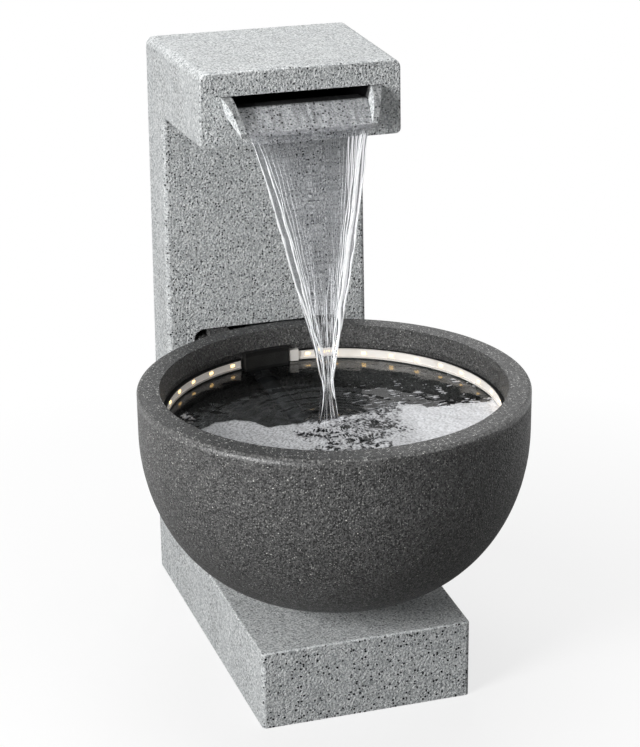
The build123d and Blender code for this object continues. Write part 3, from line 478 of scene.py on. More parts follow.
# %% [markdown]
# ## Water
# Clear water is a dielectric with an index of refraction of 1.333 and a mirror-smooth skin. It has almost no
# colour at this depth, so the dark bowl makes the pool dark. The sheet stays clear too: what looks white in
# it is its own ridges, which bend the bright surroundings towards the eye, and water that has taken in air.

# %% Clear water
water_ior = 1.333


def clear_water(name, tint, ripple_size, ripple_relief):
    """Clear water with a last layer of ripples that are too small for the mesh."""
    material, tree = new_material(name)
    spot = add(tree, "TexCoord").outputs["Object"]
    small = add(tree, "TexNoise", {"Vector": spot, "Scale": 1 / ripple_size, "Detail": 2.0}).outputs["Fac"]
    bump = add(tree, "Bump", {"Height": small, "Distance": ripple_relief, "Strength": 1.0})
    finish_surface(tree, {
        "Base Color": linear(tint), "Roughness": 0.02, "IOR": water_ior, "Transmission Weight": 1.0,
        "Normal": bump,
    })
    return material


pool_water = clear_water("pool_water", "#8A9090", 7 * mm, 0.14 * mm)
sheet_water = clear_water("falling_water", "#ECECEF", 9 * mm, 0.06 * mm)
print("clear water:", pool_water.name, sheet_water.name)

# %% [markdown]
# Foam and white water are the same water with air in it. The air sends light back, so a raft of bubbles is
# white on their crowns and grey between them, and a thread of finely aerated water is white all through.
# A faint painted glow adds to the threads' white.

# %% Foam and white water
air_size = 4 * mm


def bubble_foam(name):
    """Foam: bright crowns on the bubbles and grey where they meet."""
    material, tree = new_material(name)
    crown = add(tree, "Attribute", attribute_name="crown").outputs["Fac"]
    shade = add(tree, "Mix", {
        "Factor": crown, MIX_A: linear("#2A2C2F"), MIX_B: linear("#F0F1F4"),
    }, data_type="RGBA").outputs[MIX_RESULT]
    finish_surface(tree, {"Base Color": shade, "Roughness": 0.35, "IOR": water_ior})
    return material


def white_water(name):
    """Fine air in water: it scatters light like snow, some still passes through, and a glow is painted in."""
    material, tree = new_material(name)
    spot = add(tree, "TexCoord").outputs["Object"]
    air = add(tree, "TexNoise", {"Vector": spot, "Scale": 1 / air_size, "Detail": 2.0}).outputs["Fac"]
    shade = add(tree, "Mix", {
        "Factor": air, MIX_A: linear("#D9DEE0"), MIX_B: linear("#FFFFFF"),
    }, data_type="RGBA").outputs[MIX_RESULT]
    finish_surface(tree, {
        "Base Color": shade, "Roughness": 0.2, "IOR": water_ior, "Transmission Weight": 0.15,
        # The emission is a painted glow that keeps the threads white.
        "Emission Color": linear("#FFFFFF"), "Emission Strength": 0.22,
    })
    return material


foam = bubble_foam("bubble_foam")
aerated = white_water("aerated_water")
print("water with air:", foam.name, aerated.name)

# %% [markdown]
# ## Finishes on the CAD pieces
# Each CAD node names a material slot in the record. Its mesh is right as it is, so it only gets the finish
# that belongs to the slot. Three pieces look different from the rest of their slot: the spout is wet, with
# painted shade and light, the cable cover has a coarser grain and painted shade at its top, and the light
# strip has painted shade where it lies under the lip.

# %% Finishes
finishes = {
    "grey_cast_stone": pale_stone,
    "dark_cast_stone": dark_stone,
    "black_abs": black_abs,
    "grey_abs": grey_abs,
    "black_rubber": black_rubber,
    "pvc_hose": pvc_hose,
    "stainless_steel": stainless_steel,
    "white_silicone": white_silicone,
    "white_circuit": white_circuit,
    "warm_lamp": warm_lamp,
    "white_ceramic": white_ceramic,
    "dark_ferrite": dark_ferrite,
    "water": pool_water,
}
for part in frame["record"]["subparts"]:
    mesh = frame["nodes"][part["node"]].data
    mesh.materials.clear()
    mesh.materials.append(finishes[part["material_slot"]])
for node, finish in (("spout_tray", wet_stone), ("cable_cover", slate_abs), ("led_strip", shaded_silicone)):
    frame["nodes"][node].data.materials[0] = finish

# %% [markdown]
# ## Meshes from points
# The water pieces are grids of points: rows of rings or of cross-sections. One helper lists the quads of such
# a grid, and another makes the object, lets it ride on its body and hides the CAD node it stands in for.


# %% Helpers for meshes
def grid_faces(rows, columns):
    """Quads of closed rows of points, kept one row after another."""
    faces = []
    for row in range(rows - 1):
        for column in range(columns):
            beside = (column + 1) % columns
            start = row * columns
            faces.append((start + column, start + beside, start + columns + beside, start + columns + column))
    return faces


def make_piece(name, points, faces, material, body, node=None):
    """A smooth closed mesh that rides on a body and may stand for a CAD node."""
    mesh = bpy.data.meshes.new(name)
    mesh.from_pydata([tuple(point) for point in points], [], faces)
    work = bmesh.new()
    work.from_mesh(mesh)
    bmesh.ops.recalc_face_normals(work, faces=work.faces)
    work.to_mesh(mesh)
    work.free()
    mesh.shade_smooth()
    mesh.materials.append(material)
    thing = bpy.data.objects.new(name, mesh)
    bpy.context.scene.collection.objects.link(thing)
    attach(thing, body)
    if node:
        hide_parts(node)
    print(name, len(mesh.vertices), "points")
    return thing


print("quads between two rings of four points:", len(grid_faces(2, 4)))

# %% [markdown]
# ## The pool
# The falling water strikes the pool near the bowl's middle. Rings run out from there, and a random chop of
# many small waves lies over them, stronger in front, where the water is churned, than at the back. A sum of
# sine waves gives both, and every run of the script gives the same ones, because the dice have a fixed seed.

# %% Waves of the pool
pool_low, pool_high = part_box("water_pool")
sheet_low, sheet_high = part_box("water_sheet")
water_level = pool_high.z
pool_radius = (pool_high.x - pool_low.x) / 2 + 0.5 * mm
bowl_axis = Vector((0, pool_low.y + (pool_high.x - pool_low.x) / 2, 0))
splash_place = Vector((-11 * mm, sheet_low.y + 1.5 * mm, water_level))

generator = np.random.default_rng(7)
chop_count = 40
longest_chop = 46 * mm
chop_lengths = generator.uniform(9 * mm, longest_chop, chop_count)
chop_turns = generator.uniform(0, 2 * math.pi, chop_count)
chop_starts = generator.uniform(0, 2 * math.pi, chop_count)
chop_height = 0.9 * mm
chop_behind = 0.2
ring_height = 1.12 * mm
ring_length = 17 * mm
ring_fade = 45 * mm


def chop(x, y):
    """Height of the random small waves, about one unit high."""
    height = np.zeros_like(x)
    for length, direction, start in zip(chop_lengths, chop_turns, chop_starts):
        along = (x * math.cos(direction) + y * math.sin(direction)) / length
        height += length / longest_chop * np.sin(2 * math.pi * along + start)
    return height / math.sqrt(chop_count)


def surface_height(x, y):
    """Height of the pool's surface above its level."""
    away = np.hypot(x - splash_place.x, y - splash_place.y)
    rings = np.exp(-away / ring_fade) * np.sin(2 * math.pi * away / ring_length) * ring_height
    front = 1 / (1 + np.exp((y - splash_place.y - 25 * mm) / (22 * mm)))
    from_wall = (pool_radius - np.hypot(x - bowl_axis.x, y - bowl_axis.y)) / (25 * mm)
    wall = np.clip(from_wall, 0.15, 1)
    return rings + chop(x, y) * (chop_behind + front) * chop_height * wall


print("water level:", round(water_level / mm, 1), "mm; small waves:", chop_count)

# %% Pool surface
ring_count = 160
spoke_count = 720
hub_radius = 0.8 * mm
ring_radii = np.linspace(hub_radius, pool_radius, ring_count)
spokes = np.arange(spoke_count) * 2 * math.pi / spoke_count
top_x = bowl_axis.x + np.outer(ring_radii, np.cos(spokes))
top_y = bowl_axis.y + np.outer(ring_radii, np.sin(spokes))
top_z = water_level + surface_height(top_x, top_y)
top_points = np.stack([top_x, top_y, top_z], axis=-1).reshape(-1, 3)
print("waves from", round(float(top_z.min() - water_level) / mm, 1), "to",
      round(float(top_z.max() - water_level) / mm, 1), "mm")

# %% [markdown]
# The pool is one closed body of water: rings of points over the surface, then down the wall on a quarter of
# an ellipse and along the floor of the bowl. The lamps' light passes through real water, so the pool throws
# no shadow of its own.

# %% Pool
basin_turn = 300 * mm
floor_radius = 80 * mm
floor_z = pool_low.z
basin_steps = 14
basin = []
for step in range(1, basin_steps + 1):
    quarter = math.pi / 2 * step / basin_steps
    reach = floor_radius + (pool_radius - floor_radius) * math.cos(quarter)
    basin.append((reach, basin_turn - (basin_turn - floor_z) * math.sin(quarter)))
basin.append((hub_radius, floor_z))

pool_points = list(top_points)
for reach, height in basin:
    for spoke in spokes:
        x = bowl_axis.x + reach * math.cos(spoke)
        y = bowl_axis.y + reach * math.sin(spoke)
        pool_points.append((x, y, height))
pool_rows = ring_count + len(basin)
pool_faces = grid_faces(pool_rows, spoke_count)
pool_faces.append(tuple(range(spoke_count)))
pool_faces.append(tuple(range((pool_rows - 1) * spoke_count, pool_rows * spoke_count)))
pool = make_piece("pool", pool_points, pool_faces, pool_water, "bowl", "water_pool")
pool.visible_shadow = False

# %% [markdown]
# ## Foam
# The splash drives air into the water, and it comes up as a raft of bubbles that covers the front of the
# pool: dense and even at both sides, torn open in the middle, where the water still churns. How thick the
# foam lies at a place comes from its outline, which is cut clean on the left and frays to wisps on the right,
# from strokes and holes of noise in the churned middle, and from some loose patches and streaks.

# %% Bubbles
bubble_pitch = 2.6 * mm
bubble_radius = 1.9 * mm
bubble_steps = int(2 * pool_radius / bubble_pitch)
bubble_count = bubble_steps * bubble_steps
bubbles = kdtree.KDTree(bubble_count)
for number in range(bubble_count):
    shift = generator.uniform(-0.45, 0.45, 2)
    bubble_x = bowl_axis.x - pool_radius + (number % bubble_steps + 0.5 + shift[0]) * bubble_pitch
    bubble_y = bowl_axis.y - pool_radius + (number // bubble_steps + 0.5 + shift[1]) * bubble_pitch
    bubbles.insert((bubble_x, bubble_y, 0), number)
bubbles.balance()
bubble_sizes = generator.uniform(0.55, 1.0, bubble_count)
print("bubbles:", bubble_count)

# %% Outline of the raft
# The raft's back edge from left to right, in millimetres.
foam_edge = [(-196, -22), (-164, -40), (-152, -50), (-128, -32), (-106, -31), (-90, -41), (-76, -64),
             (-58, -63), (-20, -62), (38, -57), (80, -38), (112, -65), (196, -64)]
edge_x = [place[0] * mm for place in foam_edge]
edge_y = [place[1] * mm for place in foam_edge]
wisp_reach = 16 * mm
churn_left = -50 * mm
churn_right = 72 * mm
churn_middle_y = -83 * mm


def smooth_step(value):
    """0 below 0, 1 above 1 and a soft rise between."""
    value = min(1.0, max(0.0, value))
    return value * value * (3 - 2 * value)


def dense_right(x):
    """1 at the right side of the raft, where the foam is whitest and finest."""
    return smooth_step((x - 50 * mm) / (40 * mm))


def raft_edge(x, y, drift):
    """1 inside the raft's outline and 0 outside it."""
    right_side = smooth_step((x - 30 * mm) / (50 * mm))
    frayed = drift * (0.3 + 0.7 * right_side)
    inside = np.interp(x + frayed, edge_x, edge_y) - y + 0.4 * frayed
    wisp = noise.noise(Vector((x / (15 * mm), y / (3.6 * mm), 1)))
    wisp += 0.5 * noise.noise(Vector((x, y, 0)) / (4 * mm))
    return smooth_step((inside + wisp_reach * right_side * wisp) / (7 * mm) + 0.2)


def churned(x, y, drift):
    """1 where the falling water tears the raft open and 0 where it is dense."""
    right_limit = churn_right + (y - churn_middle_y) * 0.55
    churn = min(x - churn_left, right_limit - x) / (38 * mm)
    return smooth_step(churn + 0.5 + drift / (14 * mm))


print("torn open for", round((churn_right - churn_left) / mm), "mm in the middle")

# %% Where the foam lies
# Open water in the torn middle: places in millimetres, and radii.
foam_gaps = [(-52, -96, 6), (34, -95, 8), (50, -107, 9), (61, -117, 7), (13, -133, 8)]
# A last patch of foam at the left wall.
left_patch = Vector((-154, -9)) * mm
left_patch_reach = Vector((9, 21)) * mm
fray_size = 22 * mm
fray_reach = 12 * mm
stroke_size = 3.5 * mm
hole_size = 8 * mm


def foam_density(x, y):
    """How thick the foam lies at a place: 0 is open water, 1 is a dense raft."""
    place = Vector((x, y, 0))
    drift = noise.fractal(place / fray_size, 0.8, 2.0, 4) * fray_reach
    fine = place / stroke_size + Vector((drift, drift, 0)) / (9 * mm)
    stroke = abs(noise.noise(fine + Vector((0, 0, 3))))
    hole = noise.fractal(place / hole_size + Vector((4, 0, 0)), 0.7, 2.0, 4)
    edge = raft_edge(x, y, drift)
    torn = churned(x, y, drift)
    gap = 0.0
    for gap_x, gap_y, reach in foam_gaps:
        away = ((x - gap_x * mm) ** 2 + (y - gap_y * mm) ** 2) / (reach * mm) ** 2
        gap = max(gap, math.exp(-away))
    cover = smooth_step(1.0 - (2.2 + 2.5 * gap) * stroke + 0.6 * hole + 1.5 * (1 - torn) - 0.35 * gap)
    shade = torn * 0.86 + (1 - torn) * (0.8 + 0.2 * dense_right(x))
    patch_x = (x - left_patch.x) / left_patch_reach.x
    patch_y = (y - left_patch.y) / left_patch_reach.y
    in_patch = smooth_step(1.2 - Vector((patch_x, patch_y)).length_squared)
    patch = in_patch * smooth_step(0.7 - 1.5 * stroke + 1.2 * hole)
    streak = noise.noise(Vector((x / (24 * mm), y / (3.0 * mm), 8)) + fine * 0.12)
    streaks = smooth_step((streak - 0.2) * 6) * smooth_step((x - 14 * mm) / (40 * mm)) * (1 - edge)
    streaks *= smooth_step(1.3 - abs(y + 18 * mm) / (48 * mm))
    foot_x = (x - splash_place.x + 3 * mm) / (15 * mm)
    foot_y = (y - splash_place.y + 6 * mm) / (9 * mm)
    at_foot = smooth_step(1.3 - Vector((foot_x, foot_y)).length_squared)
    spray = at_foot * smooth_step(1.1 - 1.5 * stroke + 0.6 * hole)
    return max(edge * cover * shade, 0.7 * streaks, 0.6 * patch, 0.9 * spray)


print("foam at the raft's right side:", round(foam_density(100 * mm, -100 * mm), 2))

# %% [markdown]
# The raft is a second grid on top of the pool's, with a dome for each bubble. Faces outside the raft are left
# out, and the rest gets an underside and a rim, so that the foam is a closed layer. Each point also keeps how
# bright its bubble is there, which the finish reads as an attribute.

# %% Foam points
foam_lift = 0.25 * mm
foam_depth = 0.9 * mm
dome_height = 0.45
thinnest_foam = 0.12
foam_points = []
foam_crowns = []
foam_there = np.zeros((ring_count, spoke_count), bool)
for ring in range(ring_count):
    for spoke in range(spoke_count):
        x, y = top_x[ring, spoke], top_y[ring, spoke]
        density = foam_density(x, y)
        ragged = 0.1 * noise.noise(Vector((x, y, 5)) / (3 * mm))
        foam_there[ring, spoke] = density > thinnest_foam + ragged
        centre, number, away = bubbles.find((x, y, 0))
        size = bubble_radius * bubble_sizes[number]
        dome = math.sqrt(max(0.0, 1 - (away / size) ** 2))
        foam_points.append((x, y, top_z[ring, spoke] + foam_lift + dome * size * dome_height * density))
        grain = 0.55 - 0.25 * dense_right(x)
        foam_crowns.append(density * (1 - grain + grain * dome))
foam_count = len(foam_points)
foam_points += [(x, y, z - foam_depth) for x, y, z in top_points]
foam_crowns += [0.0] * foam_count
print("foam lies at", int(foam_there.sum()), "of", foam_count, "points")

# %% Foam raft
foam_faces = []
edge_uses = {}
for face in grid_faces(ring_count, spoke_count):
    if all(foam_there[corner // spoke_count, corner % spoke_count] for corner in face):
        foam_faces.append(face)
        foam_faces.append(tuple(corner + foam_count for corner in reversed(face)))
        for first, second in zip(face, face[1:] + face[:1]):
            edge_uses[(first, second)] = True
for first, second in edge_uses:
    if (second, first) not in edge_uses:
        foam_faces.append((second, first, first + foam_count, second + foam_count))
used = sorted({corner for face in foam_faces for corner in face})
renumber = {old: new for new, old in enumerate(used)}
foam_faces = [tuple(renumber[corner] for corner in face) for face in foam_faces]
foam_raft = make_piece("foam_raft", [foam_points[old] for old in used], foam_faces, foam, "bowl")
crown_layer = foam_raft.data.attributes.new("crown", "FLOAT", "POINT")
crown_layer.data.foreach_set("value", [foam_crowns[old] for old in used])

# %% [markdown]
# ## The falling sheet
# Water leaves the spout as a thin film and falls on a parabola. Surface tension draws it together, so it
# tapers like a curtain, with a thick rope along each edge and ridges that run down it and meet at a neck just
# above the pool. Below the neck it spreads again. Its path and its two edges are worked out first. It starts
# inside the slot, so that the film on the spout's floor and the sheet are one piece of water.

# %% Path of the sheet
lip_y = sheet_high.y
lip_z = 613 * mm
slot_floor = Vector((49 * mm, 634.5 * mm))
slot_inside_y = 50 * mm
throw = sheet_high.y - splash_place.y
spout_slope = (slot_floor.y - lip_z) / (slot_floor.x - lip_y)
floor_half_top = 75.6 * mm
floor_half_lip = 70.4 * mm
sheet_left = -69 * mm
sheet_right = 63 * mm
flare_height = 6 * mm
neck_z = 353.5 * mm
neck_x = -9.4 * mm
neck_half = 6.0 * mm
foot_half = 13 * mm
floor_rows = 18
fall_rows = 210


def path_places():
    """Places (y, z) along the film and the fall, from the slot to the pool."""
    places = [Vector((slot_inside_y, slot_floor.y)), slot_floor]
    for row in range(1, floor_rows):
        places.append(slot_floor.lerp(Vector((lip_y, lip_z)), row / floor_rows))
    bend_z = lip_z - spout_slope * throw / 2
    for row in range(fall_rows + 1):
        t = (row / fall_rows) ** 0.8
        z = (1 - t) ** 2 * lip_z + 2 * t * (1 - t) * bend_z + t * t * (water_level - 1 * mm)
        places.append(Vector((lip_y - throw * t, z)))
    return places


def edges_at(z):
    """Left and right edge of the water at a height."""
    if z > lip_z:
        share = (z - lip_z) / (slot_floor.y - lip_z)
        half = floor_half_lip + (floor_half_top - floor_half_lip) * share
        return -half, half
    if z > neck_z:
        share = (z - neck_z) / (lip_z - neck_z)
        flare = math.exp(-(lip_z - z) / flare_height)
        left = neck_x - neck_half + (sheet_left - neck_x + neck_half) * share
        right = neck_x + neck_half + (sheet_right - neck_x - neck_half) * share
        return left - flare * (floor_half_lip + sheet_left), right + flare * (floor_half_lip - sheet_right)
    share = (neck_z - z) / (neck_z - water_level)
    half = neck_half + (foot_half - neck_half) * share ** 1.5
    middle = neck_x + (splash_place.x - neck_x) * share
    return middle - half, middle + half


path = path_places()
print("fall:", round((lip_z - water_level) / mm), "mm high,", round(throw / mm), "mm forward")

# %% [markdown]
# The mesh is a row of closed cross-sections along the path: the front and the back of the film, thickened by
# the ropes and the ridges. The film gets thicker as the sheet narrows, since the same water has to pass. On
# the spout's floor the back of the film lies flat on the stone.

# %% Thickness of the sheet
# Ridges: place across the sheet from -1 to 1, then height and width in millimetres.
ridges = [
    (-0.95, 1.0, 1.5), (-0.86, 0.6, 1.3), (-0.78, 0.45, 1.2), (-0.66, 0.35, 1.4), (-0.5, 0.2, 1.5),
    (0.97, 1.3, 1.5), (0.90, 1.2, 1.4), (0.83, 0.9, 1.2), (0.76, 0.8, 1.2), (0.69, 0.55, 1.2),
    (0.58, 0.3, 1.3), (0.4, 0.16, 1.5),
]
faint_ridges = 9
ridges += [(place, 0.1, 1.6) for place in generator.uniform(-0.6, 0.6, faint_ridges)]
ridge_waves = generator.uniform(0, 2 * math.pi, len(ridges))
ridge_wave_length = 21 * mm
film_half = 0.45 * mm
rim_width = 1.1 * mm


def half_thickness(across, half_width, z, side):
    """Half the water's thickness at a place across the sheet, for its front or its back."""
    crowd = (sheet_right / max(half_width, 3 * mm)) ** 0.55
    film = film_half * crowd
    for (place, height, width), wave in zip(ridges, ridge_waves):
        away = (across - place) * half_width / (width * mm)
        swell = 0.7 + 0.3 * math.sin(z / ridge_wave_length + wave * 3 + side)
        film += height * mm * swell * crowd ** 0.5 * 0.7 * math.exp(-away * away)
    rim = (1 - abs(across)) * half_width / (rim_width * crowd ** 0.5)
    return film * math.sqrt(min(1.0, rim + 0.02))


print("ridges:", len(ridges))

# %% Falling sheet
sheet_columns = 150
front_film = 0.4 * mm
back_film = 0.6 * mm
back_wave = 1.7
sway_reach = 1.2 * mm
sheet_points = []
for number, place in enumerate(path):
    ahead = path[min(number + 1, len(path) - 1)] - path[max(number - 1, 0)]
    outward = Vector((ahead.y, -ahead.x)).normalized()
    left, right = edges_at(place.y)
    middle = (left + right) / 2
    half = (right - left) / 2
    fallen = max(0.0, lip_z - place.y)
    on_floor = math.exp(-fallen / (8 * mm))
    sway = fallen / (300 * mm) * sway_reach * math.sin(place.y / (17 * mm))
    front = []
    back = []
    for column in range(sheet_columns):
        across = -math.cos(math.pi * column / (sheet_columns - 1))
        x = middle + across * half + sway * across
        front_gap = half_thickness(across, half, place.y, 0.0) * (1 - 0.5 * on_floor)
        front_gap += front_film * on_floor
        back_gap = half_thickness(across, half, place.y, back_wave) * (1 - on_floor)
        back_gap += back_film * on_floor
        front.append((x, place.x + outward.x * front_gap, place.y + outward.y * front_gap))
        back.append((x, place.x - outward.x * back_gap, place.y - outward.y * back_gap))
    sheet_points += front + back[::-1]
sheet_loop = 2 * sheet_columns
sheet_faces = grid_faces(len(path), sheet_loop)
sheet_faces.append(tuple(range(sheet_loop)))
sheet_faces.append(tuple(range((len(path) - 1) * sheet_loop, len(path) * sheet_loop)))
sheet = make_piece("falling_sheet", sheet_points, sheet_faces, sheet_water, "frame", "water_sheet")
sheet.visible_shadow = False

# %% [markdown]
# ## White strands
# The ropes at the edges and the ridges between them tear and take in air. They show as bright threads: a
# thick one down each edge, a bundle near the right edge, and fine dashes that gather towards the neck. Each
# thread is a thin flat tube on the front of the sheet whose radius swells, thins and ends at random.

# %% One strand
fall = path[floor_rows + 1:]
fall_heights = np.array([place.y for place in fall])[::-1]
fall_depths = np.array([place.x for place in fall])[::-1]
strand_sides = 8
strand_step = 2.2 * mm
strand_flatness = 0.6
swing_length = 30 * mm
swing_reach = 2.4 * mm
wander_length = 70 * mm
wander_share = 0.5
swell_length = 13 * mm
fine_swell_length = 4 * mm
drawn_share = 0.22


def strand(across, top_z, low_z, radius, dashes, seed):
    """Points of one thread down the sheet, and how many rows they make."""
    rows = max(12, int((top_z - low_z) / strand_step))
    points = []
    for row in range(rows + 1):
        share = row / rows
        z = top_z + (low_z - top_z) * share
        left, right = edges_at(z)
        half = (right - left) / 2
        swing = noise.noise(Vector((z / swing_length, seed, 0))) * swing_reach
        low_down = smooth_step((480 * mm - z) / (120 * mm))
        wander = wander_share * noise.noise(Vector((z / wander_length, seed, 2))) * low_down
        drawn_in = 0.0 if abs(across) > 0.97 else drawn_share * (lip_z - z) / (lip_z - neck_z)
        cross = max(-1.0, min(1.0, across * (1 - drawn_in) + wander))
        x = (left + right) / 2 + cross * half + swing * min(1.0, (lip_z - z) / (60 * mm))
        x = min(max(x, left), right)
        swell = noise.noise(Vector((z / swell_length, seed, 4)))
        swell += 0.5 * noise.noise(Vector((z / fine_swell_length, seed, 9)))
        thick = max(0.06, 0.85 + 0.5 * swell - dashes * max(0.0, 0.9 + 1.2 * swell))
        above_neck = smooth_step((z - 370 * mm) / (80 * mm))
        near_lip = smooth_step((z - 500 * mm) / (80 * mm))
        gathered = 0.5 + 0.5 * above_neck - 0.3 * near_lip
        size = radius * gathered * min(thick, 1.4) * min(1.0, 8 * share + 0.1, 8 * (1 - share) + 0.1)
        y = np.interp(z, fall_heights, fall_depths) - half_thickness(cross, half, z, 0.0) * 0.8
        for side in range(strand_sides):
            angle = 2 * math.pi * side / strand_sides
            points.append((x + size * math.cos(angle), y + strand_flatness * size * math.sin(angle), z))
    return points, rows + 1


print("heights of the fall:", len(fall_heights))

# %% White strands
# Place across the sheet, top, foot and radius in millimetres, and how much the thread breaks into dashes.
strand_list = [
    (-0.99, 612, 310, 1.4, 0.0), (-0.9, 607, 330, 1.5, 0.1), (-0.84, 604, 345, 0.8, 0.3),
    (-0.76, 602, 350, 0.7, 0.4), (-0.68, 600, 350, 0.65, 0.5), (-0.59, 598, 356, 0.6, 0.5),
    (-0.5, 590, 360, 0.5, 0.6), (-0.4, 560, 366, 0.45, 0.7), (-0.3, 520, 372, 0.4, 0.8),
    (0.99, 610, 312, 1.4, 0.0), (0.93, 609, 335, 1.7, 0.0), (0.9, 609, 340, 1.9, 0.0),
    (0.86, 608, 345, 1.3, 0.1), (0.79, 608, 350, 1.0, 0.2), (0.73, 607, 350, 0.9, 0.3),
    (0.66, 606, 354, 0.7, 0.5), (0.59, 606, 360, 0.6, 0.6), (0.52, 606, 364, 0.5, 0.7),
    (0.44, 570, 370, 0.45, 0.8), (0.36, 540, 376, 0.4, 0.8),
]
strands = []
for across, top, low, radius, dashes in strand_list:
    strands.append((across, top * mm, low * mm, radius * mm, dashes))
neck_dashes = 70
for number in range(neck_dashes):
    across = generator.uniform(-0.75, 0.75)
    top = generator.uniform(385 * mm, 480 * mm)
    low = max(top - generator.uniform(20 * mm, 90 * mm), neck_z - 12 * mm)
    strands.append((across, top, low, generator.uniform(0.35, 0.7) * mm, 0.7))
foot_threads = 9
for number in range(foot_threads):
    across = generator.uniform(-0.97, 0.97)
    top = neck_z + generator.uniform(0, 20 * mm)
    strands.append((across, top, water_level + 1 * mm, generator.uniform(0.3, 0.6) * mm, 0.6))

strand_points = []
strand_faces = []
for number, (across, top, low, radius, dashes) in enumerate(strands):
    points, rows = strand(across, top, low, radius, dashes, 7.3 * number + 0.5)
    first = len(strand_points)
    strand_points += points
    strand_faces += [tuple(first + corner for corner in face) for face in grid_faces(rows, strand_sides)]
    strand_faces.append(tuple(range(first, first + strand_sides)))
    strand_faces.append(tuple(range(first + (rows - 1) * strand_sides, first + rows * strand_sides)))
white_strands = make_piece("white_strands", strand_points, strand_faces, aerated, "frame")

# %% [markdown]
# ## The stage
# A white sweep: the camera, and what mirrors or bends light, sees it as white. In front of the fountain the
# mirrored floor is darker, as a studio is behind the camera, so that the pool and the polished rim keep their
# depth. The floor keeps a part of its own shading near the object, so that its shadow stays, and it sends
# little light back up.

# %% White sweep
white_sweep, sweep_tree = new_material("white_sweep")
rays = add(sweep_tree, "LightPath").outputs
floor_spot = add(sweep_tree, "TexCoord").outputs["Object"]
behind = add(sweep_tree, "SeparateXYZ", {0: floor_spot}).outputs["Y"]
mirrored = add(sweep_tree, "MapRange", {"Value": behind, "From Min": 0.0, "From Max": 0.6, "To Min": 0.1})
glossy = add(sweep_tree, "Math", {0: rays["Is Glossy Ray"], 1: mirrored}, operation="MULTIPLY")
seen = add(sweep_tree, "Math", {0: rays["Is Camera Ray"], 1: glossy}, operation="ADD")
seen = add(sweep_tree, "Math", {0: seen, 1: rays["Is Transmission Ray"]}, operation="ADD")
away = add(sweep_tree, "VectorMath", {0: floor_spot}, operation="LENGTH").outputs["Value"]
glow_share = add(sweep_tree, "MapRange", {
    "Value": away, "From Min": 0.35, "From Max": 0.9, "To Min": 0.75, "To Max": 1.0,
})
share = add(sweep_tree, "Math", {0: seen, 1: glow_share}, operation="MULTIPLY", use_clamp=True)
mottle = add(sweep_tree, "TexNoise", {"Scale": 1 / (60 * mm), "Detail": 2.0}).outputs["Fac"]
paper = add(sweep_tree, "Mix", {
    "Factor": mottle, MIX_A: linear("#F8F8F8"), MIX_B: linear("#FCFCFC"),
}, data_type="RGBA").outputs[MIX_RESULT]
paper = add(sweep_tree, "Mix", {
    "Factor": rays["Is Camera Ray"], MIX_A: linear("#585858"), MIX_B: paper,
}, data_type="RGBA").outputs[MIX_RESULT]
matt = add(sweep_tree, "BsdfDiffuse", {"Color": paper})
glow = add(sweep_tree, "Emission", {"Strength": 1.0})
both = add(sweep_tree, "MixShader", {0: share, 1: matt, 2: glow})
add(sweep_tree, "OutputMaterial", {"Surface": both})
print("sweep nodes:", len(sweep_tree.nodes))

# %% Floor
floor_half = 6.0
floor_corners = [(x * floor_half, y * floor_half, 0) for x, y in ((-1, -1), (1, -1), (1, 1), (-1, 1))]
floor_mesh = bpy.data.meshes.new("floor")
floor_mesh.from_pydata(floor_corners, [], [(0, 1, 2, 3)])
floor_mesh.materials.append(white_sweep)
floor = bpy.data.objects.new("floor", floor_mesh)
bpy.context.scene.collection.objects.link(floor)
print("floor:", 2 * floor_half, "m wide")

# %% [markdown]
# The world is white for the camera and for what bends light. As light it is only a faint grey, because the
# lamps do the work, and as a mirror image it is a white wall behind and a dim room in front.

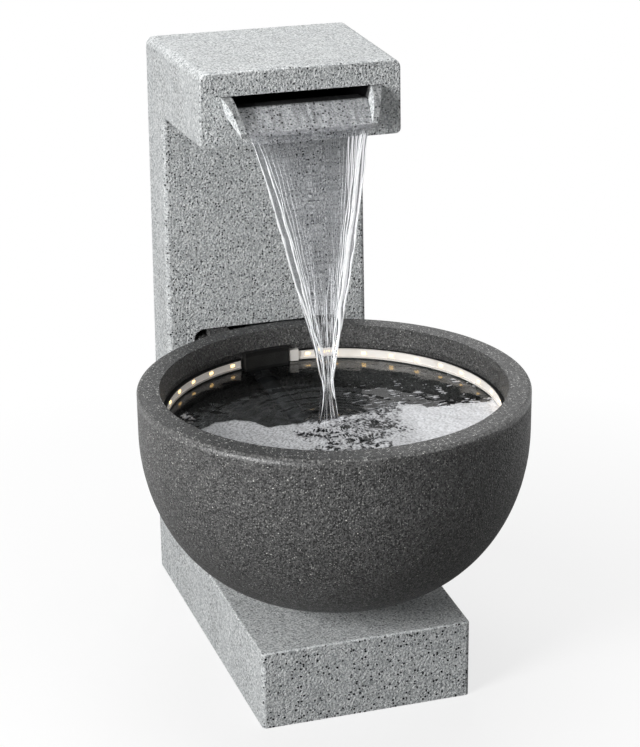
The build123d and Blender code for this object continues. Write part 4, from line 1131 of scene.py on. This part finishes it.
# %% World
ambient_level = 0.10
room_level = 0.2
world = bpy.data.worlds.new("studio")
bpy.context.scene.world = world
world.use_nodes = True
sky = world.node_tree
sky.nodes.clear()
rays = add(sky, "LightPath").outputs
seen = add(sky, "Math", {0: rays["Is Camera Ray"], 1: rays["Is Glossy Ray"]}, operation="ADD")
seen = add(sky, "Math", {0: seen, 1: rays["Is Transmission Ray"]}, operation="ADD", use_clamp=True)
direction = add(sky, "SeparateXYZ", {0: add(sky, "TexCoord").outputs["Generated"]}).outputs["Y"]
room = add(sky, "MapRange", {
    "Value": direction, "From Min": -0.35, "From Max": 0.1, "To Min": room_level, "To Max": 1.0,
})
mirrored = add(sky, "Math", {0: room, 1: rays["Is Camera Ray"]}, operation="MAXIMUM")
strength = add(sky, "MapRange", {"Value": seen, "To Min": ambient_level, "To Max": mirrored})
back = add(sky, "Background", {"Color": linear("#FFFFFF"), "Strength": strength})
add(sky, "OutputWorld", {"Surface": back})
print("world light:", ambient_level)

# %% [markdown]
# The light is plain and soft: a large lamp on the left, which makes the frame's side face the brightest, a
# lamp above, and a weaker one behind on the right, which draws the bowl's far edge. Three weak fills, in
# front, at the right and behind, keep the shaded sides readable from all around. Only the left lamp shows in
# the sheen of the stone.

# %% Lamps
lamp_target = Vector((0, 0, 0.35))


def soft_lamp(name, place, size, power, in_sheen=False):
    """A square area lamp that looks at the fountain, and may show in its sheen."""
    lamp = bpy.data.objects.new(name, bpy.data.lights.new(name, "AREA"))
    lamp.data.size = size
    lamp.data.energy = power
    lamp.location = place
    lamp.rotation_euler = (lamp_target - Vector(place)).to_track_quat("-Z", "Y").to_euler()
    lamp.visible_glossy = in_sheen
    lamp.visible_transmission = False
    bpy.context.scene.collection.objects.link(lamp)
    print(name, power, "W")


soft_lamp("left_softbox", (-2.3, -1.2, 1.3), 1.0, 70, in_sheen=True)
soft_lamp("top_softbox", (0.1, 0.3, 2.6), 1.4, 25)
soft_lamp("right_rim_softbox", (0.7, 2.2, 1.9), 1.2, 9)
soft_lamp("front_fill", (0.4, -2.8, 0.8), 1.6, 7)
soft_lamp("right_fill", (2.7, -0.2, 0.6), 1.5, 6)
soft_lamp("back_fill", (0.3, 2.9, 0.7), 1.6, 15)
bpy.context.scene.view_settings.view_transform = "Standard"

# %% [markdown]
# ## The end

# %% End
print("scene set up")
